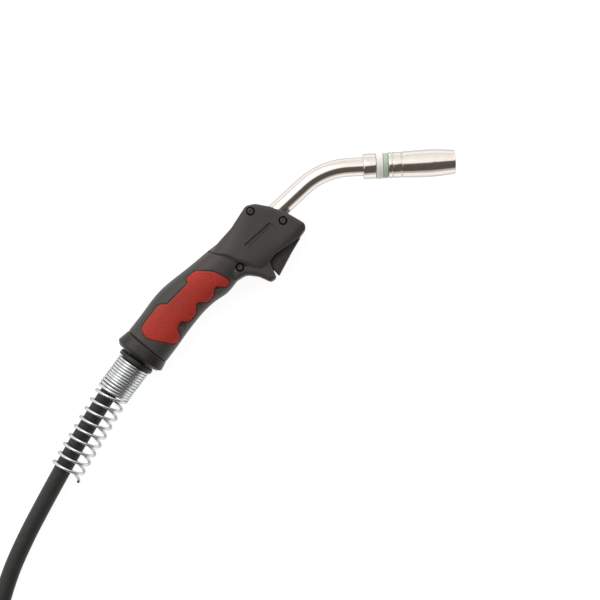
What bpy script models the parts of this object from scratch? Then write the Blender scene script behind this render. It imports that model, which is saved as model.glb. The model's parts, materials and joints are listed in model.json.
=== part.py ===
"""Gas-cooled MIG welding torch with a bent neck, its cable and its central connector.

Lengths are in metres and +Z is up. The torch lies on its side on a bench: +X runs along
the gas nozzle and out of its mouth, and the handle's two shells meet in a level plane.
"""

import math

import bmesh
import bpy
from mathutils import Matrix, Vector

MM = 0.001
GAP = 0.3 * MM  # kept between pieces that touch

# ---------------------------------------------------------------- handle
# The handle has its own frame: u runs along the grip towards the neck, v across it away
# from the trigger, and w up from the seam between the shells.
HANDLE_ANGLE = math.radians(42)  # the grip's direction, from the nozzle's
HEAD_HALF = 19 * MM  # the head's half thickness, and the seam's height
BENCH_UV = (-24 * MM, -9 * MM)  # the flat spot on the head's cheek above the origin
HEAD_STEP = 1.6 * MM  # how far the head stands out over the grip
HEAD_ROUNDING = 3.2 * MM
WALL = 3 * MM

# Outlines in the handle's frame are in millimetres: u, v and the corner's radius.
HEAD_OUTLINE = [
    (-67.5, 14.8, 0),
    (-60, 16.2, 0),
    (-40.5, 16.9, 14),
    (-18.8, 21.6, 6),
    (-12, 17.3, 0),
    (-4.3, 6.1, 0),
    (1.9, -7.6, 0),
    (7.2, -27.6, 6.5),
    (-5, -29.2, 0),
    (-30, -24.9, 0),
    (-37.2, -25.8, 3),
    (-44, -28, 4),
    (-49.5, -20.5, 5),
    (-56.5, -8.5, 0),
    (-61, 4, 0),
]
HORN_OUTLINE = [
    (-36, -12, 0),
    (-37.4, -26, 0),
    (-40.9, -34, 5),
    (-43.2, -40.2, 2.8),
    (-49.4, -38.8, 3.4),
    (-53.2, -28.5, 12),
    (-60, -19.6, 10),
    (-70, -17.4, 0),
    (-66, -8, 0),
]
HORN_HALF = 16.4 * MM
HORN_ROUNDING = 4 * MM
# The grip's height at stations along it: u, upper v, lower v, and how far the section
# leans, in degrees, as the grip bends down towards the cable.
GRIP_STATIONS = [
    (-50, 14.5, -9.5, 0),
    (-58, 16.6, -17.2, 0),
    (-70, 18.2, -18.1, 0),
    (-82, 19.2, -19.1, 0),
    (-94, 20.4, -16.9, 0),
    (-106, 21.9, -16.2, 0),
    (-119, 23, -17.2, 0),
    (-132, 22.1, -18.9, 1),
    (-146, 19.8, -21.2, 3),
    (-162, 17.9, -23.4, 5),
]
RING_LENGTH = 12.5 * MM  # of the locking ring behind the grip, at its middle
RING_END = (18.3, -26, 9)  # its last section: upper v, lower v, lean
RING_CHAMFER = 3 * MM
SECTION_POWER = 2.5  # 2 is an ellipse, more is squarer
SECTION_SIDES = 16
REAR_TILT = math.radians(9)  # the cable's direction at the rear, from -u

INLAY_OUTLINE = [
    (-155.6, 11.2, 9),
    (-129, 14.9, 6),
    (-124.6, 9.6, 4),
    (-99.4, 9.8, 2),
    (-98.2, 13.9, 2),
    (-87.5, 13.2, 8),
    (-77, 1.5, 14),
    (-72.3, -13.6, 4),
    (-78.6, -15.8, 3),
    (-85.6, -7.6, 3.5),
    (-91.5, -13.4, 5),
    (-99.5, -13.2, 4),
    (-105.4, -6.2, 3.5),
    (-112.5, -13.2, 5),
    (-121.6, -13.8, 5),
    (-126.6, -8.4, 3.5),
    (-132.8, -10.6, 3),
    (-136, -17.6, 3),
    (-143.8, -18.9, 4),
    (-156.8, 0.6, 9),
]
INLAY_DEPTH = 1.3 * MM
INLAY_PROUD = 0.35 * MM
INLAY_EDGE_W = 8 * MM  # the recess stops this far from the seam

# ---------------------------------------------------------------- neck and nozzle
NECK_ROOT_V = 0.4 * MM
NECK_TILT = math.radians(-2)  # of the neck's root, from the grip's direction
NECK_STRAIGHT = 28 * MM  # from the head's face to the bend
NECK_BEND_RADIUS = 62 * MM
NECK_RADIUS = 8 * MM
NECK_BORE = 6.6 * MM
NECK_INSERTED = 38 * MM  # how far the neck reaches into the handle
NECK_END_X = 94 * MM
NECK_STEPS = 7  # straight pieces in the bend
CONDUCTOR_RADIUS = 4.8 * MM
CONDUCTOR_BORE = 2.4 * MM
LINER_RADIUS = 2 * MM
LINER_BORE = 0.9 * MM

COLLAR_X = 85 * MM
COLLAR_LENGTH = 10.8 * MM
COLLAR_RADIUS = 10.8 * MM
INSULATOR_LENGTH = 5.7 * MM
INSULATOR_RADIUS = 11.2 * MM
SLEEVE_LENGTH = 12 * MM  # of the insulator, inside the nozzle
SEAL_LENGTH = 4 * MM
SEAL_RADIUS = 10.9 * MM
NOZZLE_LENGTH = 57 * MM
NOZZLE_BORE = 9.3 * MM
NOZZLE_MOUTH = 8 * MM
NOZZLE_WALL = 1.8 * MM
NOZZLE_BULGE = 0.8 * MM
TIP_RADIUS = 4 * MM
TIP_LENGTH = 26 * MM
TIP_SHANK = 8 * MM
TIP_RECESS = 6 * MM  # from the nozzle's mouth
TIP_BORE = 0.7 * MM
HOLDER_RADIUS = 5.6 * MM
HOLDER_NOSE = 4.6 * MM
DIFFUSER_RADIUS = 7.2 * MM
DIFFUSER_LENGTH = 9.4 * MM
DIFFUSER_HOLES = 6

# ---------------------------------------------------------------- trigger and switch
PIVOT_UV = (-10 * MM, -25.5 * MM)
TRIGGER_HALF = 7.5 * MM
TRIGGER_SIDE_GAP = 0.5 * MM
TRIGGER_OUTLINE = [
    (-5, -29.9, 1),
    (-18.8, -33.2, 0),
    (-35.6, -38.4, 0),
    (-40.6, -39.9, 0.6),
    (-40.3, -31, 0),
    (-38.8, -26.5, 1),
    (-34, -25, 0),
    (-14.5, -23.3, 0),
    (-7.2, -22.6, 2),
    (-5, -26, 0),
]
SLOT_U = (-42.4 * MM, -3.6 * MM)
SLOT_TOP = -22 * MM
PIN_RADIUS = 1.5 * MM
PIN_HALF = 14 * MM
SPRING_POCKET_HALF = 2.7 * MM
SWITCH_SIZE = (20 * MM, 8.2 * MM, 7.2 * MM)
SWITCH_FLOOR_V = -19.7 * MM  # of the head's inside, which the switch stands on
SWITCH_U = -31 * MM
PLUNGER_U = -33 * MM
PLUNGER_RADIUS = 1.2 * MM
PLUNGER_TIP_V = -24.55 * MM
PLUNGER_STROKE = 2.4 * MM
SWITCH_WIRE_RADIUS = 0.9 * MM
ROOT_BLOCK_HALF = 9.4 * MM
ROOT_BLOCK_LENGTH = 26 * MM
NIPPLE_RADIUS = 4 * MM
CRIMP_RADIUS = 9.2 * MM
CRIMP_LENGTH = 34 * MM

SCREWS_UV = [(-19.1, 15.2), (-5.3, -9.8), (-58.9, -11.9)]  # in millimetres
SCREW_SUNK = [1.2 * MM, 1.2 * MM, 5 * MM]  # of each head, below the head's cheek
SCREW_HEAD_RADIUS = 3.2 * MM
SCREW_HEAD_HEIGHT = 2.4 * MM
SCREW_RADIUS = 1.3 * MM
SCREW_LENGTH = 26 * MM
BOSS_RADIUS = 5.4 * MM

# ---------------------------------------------------------------- cable
CABLE_RADIUS = 7.5 * MM
SEAT_RADIUS = 16.1 * MM
SEAT_THICKNESS = 4 * MM
SEAT_HUB_LENGTH = 6 * MM
SPRING_RADIUS = 14.75 * MM  # outside
WIRE_RADIUS = 1.2 * MM
CLOSED_TURNS = 12
CLOSED_PITCH = 2.55 * MM
OPEN_TURNS = 9
OPEN_PITCH = 9 * MM
SPRING_STEPS = 10
# The middle of the spring's open turns, in metres, from the closed turns' end.
SPRING_ROUTE = [(-0.1600, -0.1583, 0.0172), (-0.1843, -0.1940, 0.0152)]

LANE = 2 * CABLE_RADIUS  # between the coil's turns
COIL_CENTRE = (-0.154, -0.428)
COIL_MIDDLE_RADIUS = 93 * MM
COIL_BOTTOM = 0.3 * MM
LEAD_ROUTE = [
    (-0.1290, -0.1135, 0.0188),
    (-0.1402, -0.1238, 0.0182),
    (-0.1540, -0.1423, 0.0175),
    (-0.1715, -0.1675, 0.0162),
    (-0.1875, -0.1925, 0.0140),
    (-0.2045, -0.2195, 0.0105),
    (-0.2215, -0.2480, 0.0082),
    (-0.2370, -0.2790, 0.0078),
    (-0.2490, -0.3140, 0.0078),
    (-0.2575, -0.3560, 0.0078),
]
CORD_SPACING = 30 * MM

# ---------------------------------------------------------------- central connector
PLUG_X = 31 * MM  # the face where the nut's back wall starts
NUT_RADIUS = 22.5 * MM
NUT_BORE = 19 * MM
NUT_LENGTH = 31 * MM
NUT_BACK = 8 * MM
PLUG_BODY_RADIUS = 15 * MM
PLUG_BODY_LENGTH = 28 * MM
FLANGE_RADIUS = 18 * MM
FLANGE_THICKNESS = 4 * MM
SPIGOT_RADIUS = 5.5 * MM
SPIGOT_LENGTH = 26 * MM
CONTROL_PIN_RADIUS = 2 * MM
CONTROL_PIN_YZ = [(-5 * MM, -11 * MM), (5 * MM, -11 * MM)]
CONTROL_PIN_TRAVEL = 2.5 * MM
HOUSING_RADIUS = 19 * MM
HOUSING_LENGTH = 67 * MM
BOOT_LENGTH = 36 * MM
BOOT_RADIUS = 11.5 * MM

FINISHES = {
    # colour, roughness, metallic
    "black_plastic": ((0.055, 0.052, 0.05), 0.5, 0),
    "grip_plastic": ((0.03, 0.031, 0.031), 0.45, 0),
    "red_rubber": ((0.36, 0.035, 0.025), 0.65, 0),
    "nickel": ((0.82, 0.79, 0.75), 0.15, 1),
    "white_insulator": ((0.72, 0.72, 0.65), 0.45, 0),
    "green_seal": ((0.3, 0.42, 0.33), 0.4, 0),
    "copper": ((0.72, 0.36, 0.2), 0.3, 1),
    "brass": ((0.72, 0.55, 0.25), 0.3, 1),
    "zinc_steel": ((0.62, 0.65, 0.67), 0.3, 1),
    "dark_steel": ((0.12, 0.12, 0.12), 0.4, 1),
    "cable_rubber": ((0.032, 0.032, 0.032), 0.6, 0),
    "red_wire": ((0.5, 0.04, 0.03), 0.5, 0),
}


# ================================================================ helpers
def finish_material(name):
    """The Principled material of that finish, made once."""
    if name in bpy.data.materials:
        return bpy.data.materials[name]
    colour, roughness, metallic = FINISHES[name]
    made = bpy.data.materials.new(name)
    made.use_nodes = True
    shader = made.node_tree.nodes["Principled BSDF"]
    shader.inputs["Base Color"].default_value = (*colour, 1)
    shader.inputs["Roughness"].default_value = roughness
    shader.inputs["Metallic"].default_value = metallic
    return made


def add_object(name, data, parent, location=(0, 0, 0), rotation=(0, 0, 0)):
    made = bpy.data.objects.new(name, data)
    bpy.context.scene.collection.objects.link(made)
    made.parent = parent
    made.location = location
    made.rotation_euler = rotation
    return made


def solid(name, bm, finish, parent=None, location=(0, 0, 0), rotation=(0, 0, 0)):
    """The bmesh as a named object with a finish, its faces turned out."""
    bmesh.ops.recalc_face_normals(bm, faces=bm.faces)
    mesh = bpy.data.meshes.new(name)
    bm.to_mesh(mesh)
    bm.free()
    mesh.shade_smooth()
    mesh.set_sharp_from_angle(angle=math.radians(35))
    if finish:
        mesh.materials.append(finish_material(finish))
    return add_object(name, mesh, parent, location, rotation)


def guide(name, bm, parent=None, location=(0, 0, 0), rotation=(0, 0, 0)):
    """A solid that only cuts or adds to others."""
    made = solid(name, bm, None, parent, location, rotation)
    made.hide_render = True
    made.display_type = "WIRE"
    return made


def combine(target, operation, *others):
    for other in others:
        step = target.modifiers.new(other.name, "BOOLEAN")
        step.operation = operation
        step.solver = "EXACT"
        step.object = other


def turned(profile, sides=20):
    """Spin (x, radius) points about X: a loop makes a ring, and ends on the axis a solid."""
    bm = bmesh.new()
    verts = [bm.verts.new((x, 0, radius)) for x, radius in profile]
    edges = [bm.edges.new(pair) for pair in zip(verts, verts[1:])]
    if profile[0][1] > 0:
        edges.append(bm.edges.new((verts[-1], verts[0])))
    bmesh.ops.spin(
        bm,
        geom=verts + edges,
        axis=(1, 0, 0),
        cent=(0, 0, 0),
        angle=math.tau,
        steps=sides,
        use_merge=True,
    )
    bmesh.ops.remove_doubles(bm, verts=bm.verts, dist=1e-6)
    return bm


def rod(radius, start, end, sides=16):
    """A plain cylinder along X."""
    return turned([(start, 0), (start, radius), (end, radius), (end, 0)], sides)


def tube(radius, bore, start, end, sides=16):
    """A plain tube along X."""
    loop = [(start, bore), (start, radius), (end, radius), (end, bore)]
    return turned(loop, sides)


def box(low, high):
    bm = bmesh.new()
    bmesh.ops.create_cube(bm, size=1)
    size = Vector(high) - Vector(low)
    middle = (Vector(high) + Vector(low)) / 2
    place = Matrix.Translation(middle) @ Matrix.Diagonal((*size, 1))
    bmesh.ops.transform(bm, matrix=place, verts=bm.verts)
    return bm


def extruded(outline, low, high, rounding=0):
    """The outline between two heights, with its rims rounded over."""
    bm = bmesh.new()
    base = bm.faces.new([bm.verts.new((x, y, low)) for x, y in outline])
    risen = bmesh.ops.extrude_face_region(bm, geom=[base])["geom"]
    verts = [item for item in risen if isinstance(item, bmesh.types.BMVert)]
    bmesh.ops.translate(bm, verts=verts, vec=(0, 0, high - low))
    if rounding:
        rims = [edge for edge in bm.edges if abs(edge.verts[0].co.z - edge.verts[1].co.z) < 1e-9]
        bmesh.ops.bevel(bm, geom=rims, offset=rounding, segments=2, profile=0.5, affect="EDGES")
    return bm


def rounded(corners, steps=2):
    """Turn (x, y, radius) corners in millimetres into an outline with round corners."""
    outline = []
    before = corners[-1:] + corners[:-1]
    after = corners[1:] + corners[:1]
    for (ax, ay, _), (bx, by, radius), (cx, cy, _) in zip(before, corners, after):
        corner = Vector((bx, by)) * MM
        to_a = Vector((ax, ay)) * MM - corner
        to_c = Vector((cx, cy)) * MM - corner
        if radius == 0:
            outline.append(corner)
            continue
        half = to_a.angle(to_c) / 2
        reach = min(radius * MM / math.tan(half), 0.48 * to_a.length, 0.48 * to_c.length)
        fillet = reach * math.tan(half)
        to_a.normalize()
        to_c.normalize()
        centre = corner + (to_a + to_c).normalized() * fillet / math.sin(half)
        first = corner + to_a * reach - centre
        last = corner + to_c * reach - centre
        for step in range(steps + 1):
            spoke = first.lerp(last, step / steps)
            outline.append(centre + spoke.normalized() * fillet)
    return outline


def lofted(rings):
    """A closed skin through rings of equal length, with both ends capped."""
    bm = bmesh.new()
    loops = [[bm.verts.new(point) for point in ring] for ring in rings]
    for near, far in zip(loops, loops[1:]):
        for i in range(len(near)):
            bm.faces.new((near[i - 1], near[i], far[i], far[i - 1]))
    bm.faces.new(loops[0])
    bm.faces.new(loops[-1])
    return bm


def rings_along(path, radius, sides):
    """A round ring at each point of a path, square to it and without twist."""
    rings = []
    side = (path[1] - path[0]).orthogonal()
    for i, point in enumerate(path):
        ahead = path[min(i + 1, len(path) - 1)] - path[max(i - 1, 0)]
        ahead.normalize()
        side = (side - ahead * side.dot(ahead)).normalized()
        other = ahead.cross(side)
        angles = [math.tau * k / sides for k in range(sides)]
        rings.append([point + radius * (side * math.cos(a) + other * math.sin(a)) for a in angles])
    return rings


def swept(path, radius, sides=10):
    return lofted(rings_along(path, radius, sides))


def swept_tube(path, radius, bore, sides=12):
    """A pipe along the path, open at both ends."""
    bm = bmesh.new()
    walls = []
    for rings in (rings_along(path, radius, sides), rings_along(path, bore, sides)):
        walls.append([[bm.verts.new(point) for point in ring] for ring in rings])
        for near, far in zip(walls[-1], walls[-1][1:]):
            for i in range(sides):
                bm.faces.new((near[i - 1], near[i], far[i], far[i - 1]))
    for end in (0, -1):
        outer, inner = walls[0][end], walls[1][end]
        for i in range(sides):
            bm.faces.new((outer[i - 1], outer[i], inner[i], inner[i - 1]))
    return bm


def smooth_curve(route, spacing):
    """Points at an even spacing on a Catmull-Rom curve through the route."""
    route = [Vector(point) for point in route]
    ends = [2 * route[0] - route[1], *route, 2 * route[-1] - route[-2]]
    dense = []
    for p0, p1, p2, p3 in zip(ends, ends[1:], ends[2:], ends[3:]):
        for step in range(40):
            t = step / 40
            dense.append(
                0.5
                * (
                    2 * p1
                    + (p2 - p0) * t
                    + (2 * p0 - 5 * p1 + 4 * p2 - p3) * t**2
                    + (3 * p1 - p0 - 3 * p2 + p3) * t**3
                )
            )
    dense.append(route[-1])
    total = sum((b - a).length for a, b in zip(dense, dense[1:]))
    count = max(2, round(total / spacing))
    even, run, wanted = [dense[0]], 0, 1
    for a, b in zip(dense, dense[1:]):
        length = (b - a).length
        while wanted < count and run + length >= total * wanted / count:
            even.append(a.lerp(b, (total * wanted / count - run) / length))
            wanted += 1
        run += length
    even.append(dense[-1])
    return even


def cord_tube(name, points, finish):
    """A plain round curve through the points, with capped ends."""
    curve = bpy.data.curves.new(name, "CURVE")
    curve.dimensions = "3D"
    curve.bevel_depth = CABLE_RADIUS
    curve.bevel_resolution = 2
    curve.use_fill_caps = True
    line = curve.splines.new("POLY")
    line.points.add(len(points) - 1)
    for spot, point in zip(line.points, points):
        spot.co = (*point, 1)
    curve.materials.append(finish_material(finish))
    return add_object(name, curve, None)


def handle_to_row(u, v, w=0.0):
    """A point of the handle's frame, in metres, in the object's frame."""
    turn = Matrix.Rotation(HANDLE_ANGLE, 2)
    flat = turn @ (Vector((u, v)) - Vector(BENCH_UV))
    return Vector((flat.x, flat.y, w + HEAD_HALF))


# ================================================================ handle
def section(u, top, bottom, half, lean, inset=0.0):
    """One ring of the grip, in the handle's frame."""
    middle, height = (top + bottom) / 2, (top - bottom) / 2 - inset
    ring = []
    for k in range(SECTION_SIDES):
        angle = math.tau * k / SECTION_SIDES
        across = math.copysign(abs(math.cos(angle)) ** (2 / SECTION_POWER), math.cos(angle))
        up = math.copysign(abs(math.sin(angle)) ** (2 / SECTION_POWER), math.sin(angle))
        v = height * across
        point = (u - v * math.sin(lean), middle + v * math.cos(lean), (half - inset) * up)
        ring.append(Vector(point))
    return ring


def grip_rings(inset=0.0, boss=False):
    """The grip's sections, or its inside's when inset by a wall and clear of the boss."""
    rings = []
    for u, top, bottom, lean in GRIP_STATIONS:
        top, bottom, lean = top * MM, bottom * MM, math.radians(lean)
        screw_u, screw_v = SCREWS_UV[2]
        if boss and u * MM > screw_u * MM - 2 * BOSS_RADIUS:
            bottom = screw_v * MM + BOSS_RADIUS - inset
        rings.append(section(u * MM, top, bottom, HEAD_HALF - HEAD_STEP, lean, inset))
    return rings


def add_handle(frame, neck_frame):
    """Both shells, cut from one outer form that stays as a guide."""
    last_u = GRIP_STATIONS[-1][0] * MM
    form = guide("handle_form", lofted(grip_rings()), frame)
    head = extruded(rounded(HEAD_OUTLINE), -HEAD_HALF, HEAD_HALF, HEAD_ROUNDING)
    horn = extruded(rounded(HORN_OUTLINE), -HORN_HALF, HORN_HALF, HORN_ROUNDING)
    combine(form, "UNION", guide("head_form", head, frame), guide("horn_form", horn, frame))

    grip_inside = grip_rings(WALL, boss=True)
    past_end = [point + Vector((-WALL, 0, 0)) for point in grip_inside[-1]]
    grip_hollow = guide("grip_hollow", lofted([*grip_inside, past_end]), frame)
    block_front = -NECK_INSERTED + ROOT_BLOCK_LENGTH
    head_inside = [
        (-52, 10.8, 0),
        (-28, 13.4, 0),
        (-25.5, 11.6, 0),
        (block_front / MM + 1.5, 11.6, 0),
        (block_front / MM + 1.5, SWITCH_FLOOR_V / MM, 0),
        (-46.5, SWITCH_FLOOR_V / MM, 0),
        (-51.5, -11.5, 0),
        (-53, -6.4, 0),
    ]
    inside_half = HEAD_HALF - 1.5 * WALL
    hollow = extruded(rounded(head_inside), -inside_half, inside_half)
    head_hollow = guide("head_hollow", hollow, frame)
    neck_hole = guide("neck_hole", rod(NECK_RADIUS + GAP, block_front, 20 * MM), neck_frame)
    slot_half = TRIGGER_HALF + TRIGGER_SIDE_GAP
    slot = box((SLOT_U[0], -60 * MM, -slot_half), (SLOT_U[1], SLOT_TOP, slot_half))
    trigger_slot = guide("trigger_slot", slot, frame)
    plunger_hole = guide(
        "plunger_hole",
        rod(PLUNGER_RADIUS + 2 * GAP, SLOT_TOP - WALL, SWITCH_FLOOR_V + WALL),
        frame,
        (PLUNGER_U, 0, 0),
        (0, 0, math.pi / 2),
    )
    pin_hole = guide(
        "pin_hole",
        rod(PIN_RADIUS + GAP, -PIN_HALF - GAP, PIN_HALF + GAP),
        frame,
        (*PIVOT_UV, 0),
        (0, -math.pi / 2, 0),
    )
    combine(form, "DIFFERENCE", grip_hollow, head_hollow, neck_hole, trigger_slot)
    combine(form, "DIFFERENCE", plunger_hole, pin_hole)
    for number, ((u, v), sunk) in enumerate(zip(SCREWS_UV, SCREW_SUNK), 1):
        head_top = HEAD_HALF - sunk
        under_head = head_top - SCREW_HEAD_HEIGHT - GAP
        wide = SCREW_HEAD_RADIUS + 2 * GAP
        narrow = SCREW_RADIUS + GAP
        hole = turned(
            [
                (head_top - SCREW_HEAD_HEIGHT - SCREW_LENGTH - 2 * GAP, 0),
                (head_top - SCREW_HEAD_HEIGHT - SCREW_LENGTH - 2 * GAP, narrow),
                (under_head, narrow),
                (under_head, wide),
                (HEAD_HALF + WALL, wide),
                (HEAD_HALF + WALL, 0),
            ],
            16,
        )
        place = (u * MM, v * MM, 0)
        combine(
            form,
            "DIFFERENCE",
            guide(f"screw_hole_{number}", hole, frame, place, (0, -math.pi / 2, 0)),
        )

    far = 0.3
    for name, side in (("upper", 1), ("lower", -1)):
        half_space = box((last_u - far, -far, GAP / 2), (far, far, far))
        if side < 0:
            bmesh.ops.transform(
                half_space, matrix=Matrix.Rotation(math.pi, 4, "X"), verts=half_space.verts
            )
        shell = solid(f"handle_{name}_shell", half_space, "black_plastic", frame)
        combine(shell, "INTERSECT", form)
        combine(shell, "DIFFERENCE", add_inlay(name, side, frame))


def add_inlay(name, side, frame):
    """A rubber panel set in the grip's side, and the recess it lies in."""
    outer = section_skin(-INLAY_PROUD)
    under = section_skin(INLAY_DEPTH)
    outline = rounded(INLAY_OUTLINE)
    low, high = sorted((side * INLAY_EDGE_W, side * 2 * HEAD_HALF))
    panel = solid(f"grip_inlay_{name}", extruded(outline, low, high), "red_rubber", frame)
    combine(panel, "INTERSECT", guide(f"inlay_skin_{name}", outer, frame))
    combine(panel, "DIFFERENCE", guide(f"inlay_bed_{name}", under, frame))

    wider = grown(outline, GAP)
    low, high = sorted((side * (INLAY_EDGE_W - GAP), side * 2 * HEAD_HALF))
    recess = guide(f"inlay_recess_{name}", extruded(wider, low, high), frame)
    combine(recess, "DIFFERENCE", guide(f"recess_bed_{name}", section_skin(INLAY_DEPTH + GAP), frame))
    return recess


def section_skin(inset):
    """The grip's form moved in by a depth, and run past both of its ends."""
    rings = grip_rings(inset)
    ahead = [point + Vector((5 * MM, 0, 0)) for point in rings[0]]
    behind = [point - Vector((5 * MM, 0, 0)) for point in rings[-1]]
    return lofted([ahead, *rings, behind])


def grown(outline, distance):
    """The outline moved outwards."""
    moved = []
    area = sum(a.x * b.y - b.x * a.y for a, b in zip(outline, outline[1:] + outline[:1]))
    for before, point, after in zip(outline[-1:] + outline[:-1], outline, outline[1:] + outline[:1]):
        along = (point - before).normalized() + (after - point).normalized()
        out = Vector((along.y, -along.x)).normalized()
        moved.append(point + out * math.copysign(distance, area))
    return moved


def add_rear_ring(frame, seat_frame):
    """The locking ring that closes the grip's end, and the spring's seat behind it."""
    u, top, bottom, lean = GRIP_STATIONS[-1]
    half = HEAD_HALF - HEAD_STEP
    end_top, end_bottom, end_lean = RING_END
    rings = []
    for share, grow in ((0, -0.4 * MM), (0.08, 0), (0.75, 0.7 * MM), (1, 0.2 * MM - RING_CHAMFER)):
        rings.append(
            section(
                u * MM - GAP - RING_LENGTH * share,
                (top + (end_top - top) * share) * MM,
                (bottom + (end_bottom - bottom) * share) * MM,
                half + 0.5 * MM * share,
                math.radians(lean + (end_lean - lean) * share),
                -grow,
            )
        )
    ring = solid("rear_ring", lofted(rings), "grip_plastic", frame)
    bore = rod(CABLE_RADIUS + 2.5 * MM, -30 * MM, 40 * MM, 20)
    combine(ring, "DIFFERENCE", guide("rear_bore", bore, seat_frame))

    hub = SPRING_RADIUS - 2 * WIRE_RADIUS - 3 * GAP
    bore = CABLE_RADIUS + 2 * GAP
    profile = [
        (0, bore),
        (0, SEAT_RADIUS - 0.8 * MM),
        (0.8 * MM, SEAT_RADIUS),
        (SEAT_THICKNESS, SEAT_RADIUS),
        (SEAT_THICKNESS, hub),
        (SEAT_THICKNESS + SEAT_HUB_LENGTH, hub),
        (SEAT_THICKNESS + SEAT_HUB_LENGTH, bore),
    ]
    solid("spring_seat", turned(profile), "grip_plastic", seat_frame)


def add_screws(frame):
    for number, ((u, v), sunk) in enumerate(zip(SCREWS_UV, SCREW_SUNK), 1):
        top = HEAD_HALF - sunk
        under = top - SCREW_HEAD_HEIGHT
        profile = [
            (under - SCREW_LENGTH, 0),
            (under - SCREW_LENGTH, SCREW_RADIUS),
            (under, SCREW_RADIUS),
            (under, SCREW_HEAD_RADIUS),
            (top - 1 * MM, SCREW_HEAD_RADIUS),
            (top, SCREW_HEAD_RADIUS - 1 * MM),
            (top, 0),
        ]
        solid(
            f"housing_screw_{number}",
            turned(profile, 12),
            "dark_steel",
            frame,
            (u * MM, v * MM, 0),
            (0, -math.pi / 2, 0),
        )


# ================================================================ neck and nozzle
def neck_path(start, end_x):
    """The neck's centreline, from inside the handle to a place on the nozzle's axis."""
    bend = HANDLE_ANGLE + NECK_TILT
    points = [Vector((start, 0)), Vector((NECK_STRAIGHT, 0))]
    for step in range(1, NECK_STEPS + 1):
        angle = bend * step / NECK_STEPS
        over = NECK_BEND_RADIUS * math.sin(angle)
        down = NECK_BEND_RADIUS * (1 - math.cos(angle))
        points.append(Vector((NECK_STRAIGHT + over, -down)))
    root = handle_to_row(0, NECK_ROOT_V)
    turn = Matrix.Rotation(bend, 2)
    path = [root + (turn @ point).to_3d() for point in points]
    path.append(Vector((end_x, path[-1].y, path[-1].z)))
    return path


def add_neck(neck_frame):
    root = -NECK_INSERTED
    jacket = swept_tube(neck_path(root, NECK_END_X), NECK_RADIUS, NECK_BORE, 12)
    solid("swan_neck_tube", jacket, "nickel")
    path = neck_path(root + GAP, NECK_END_X + 2 * MM)
    solid("neck_conductor", swept_tube(path, CONDUCTOR_RADIUS, CONDUCTOR_BORE, 8), "copper")
    path = neck_path(root + 2 * GAP, NECK_END_X + 1.8 * MM)
    solid("wire_liner", swept_tube(path, LINER_RADIUS, LINER_BORE, 6), "zinc_steel")

    back = root - 5 * MM
    low = (back, -ROOT_BLOCK_HALF, -ROOT_BLOCK_HALF)
    high = (back + ROOT_BLOCK_LENGTH, ROOT_BLOCK_HALF, ROOT_BLOCK_HALF)
    block = solid("neck_root_block", box(low, high), "brass", neck_frame)
    shoulder = root - GAP
    bore = turned(
        [
            (back - WALL, 0),
            (back - WALL, NIPPLE_RADIUS + GAP),
            (shoulder, NIPPLE_RADIUS + GAP),
            (shoulder, NECK_RADIUS + GAP),
            (high[0] + WALL, NECK_RADIUS + GAP),
            (high[0] + WALL, 0),
        ],
        16,
    )
    combine(block, "DIFFERENCE", guide("root_bore", bore, neck_frame))


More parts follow.
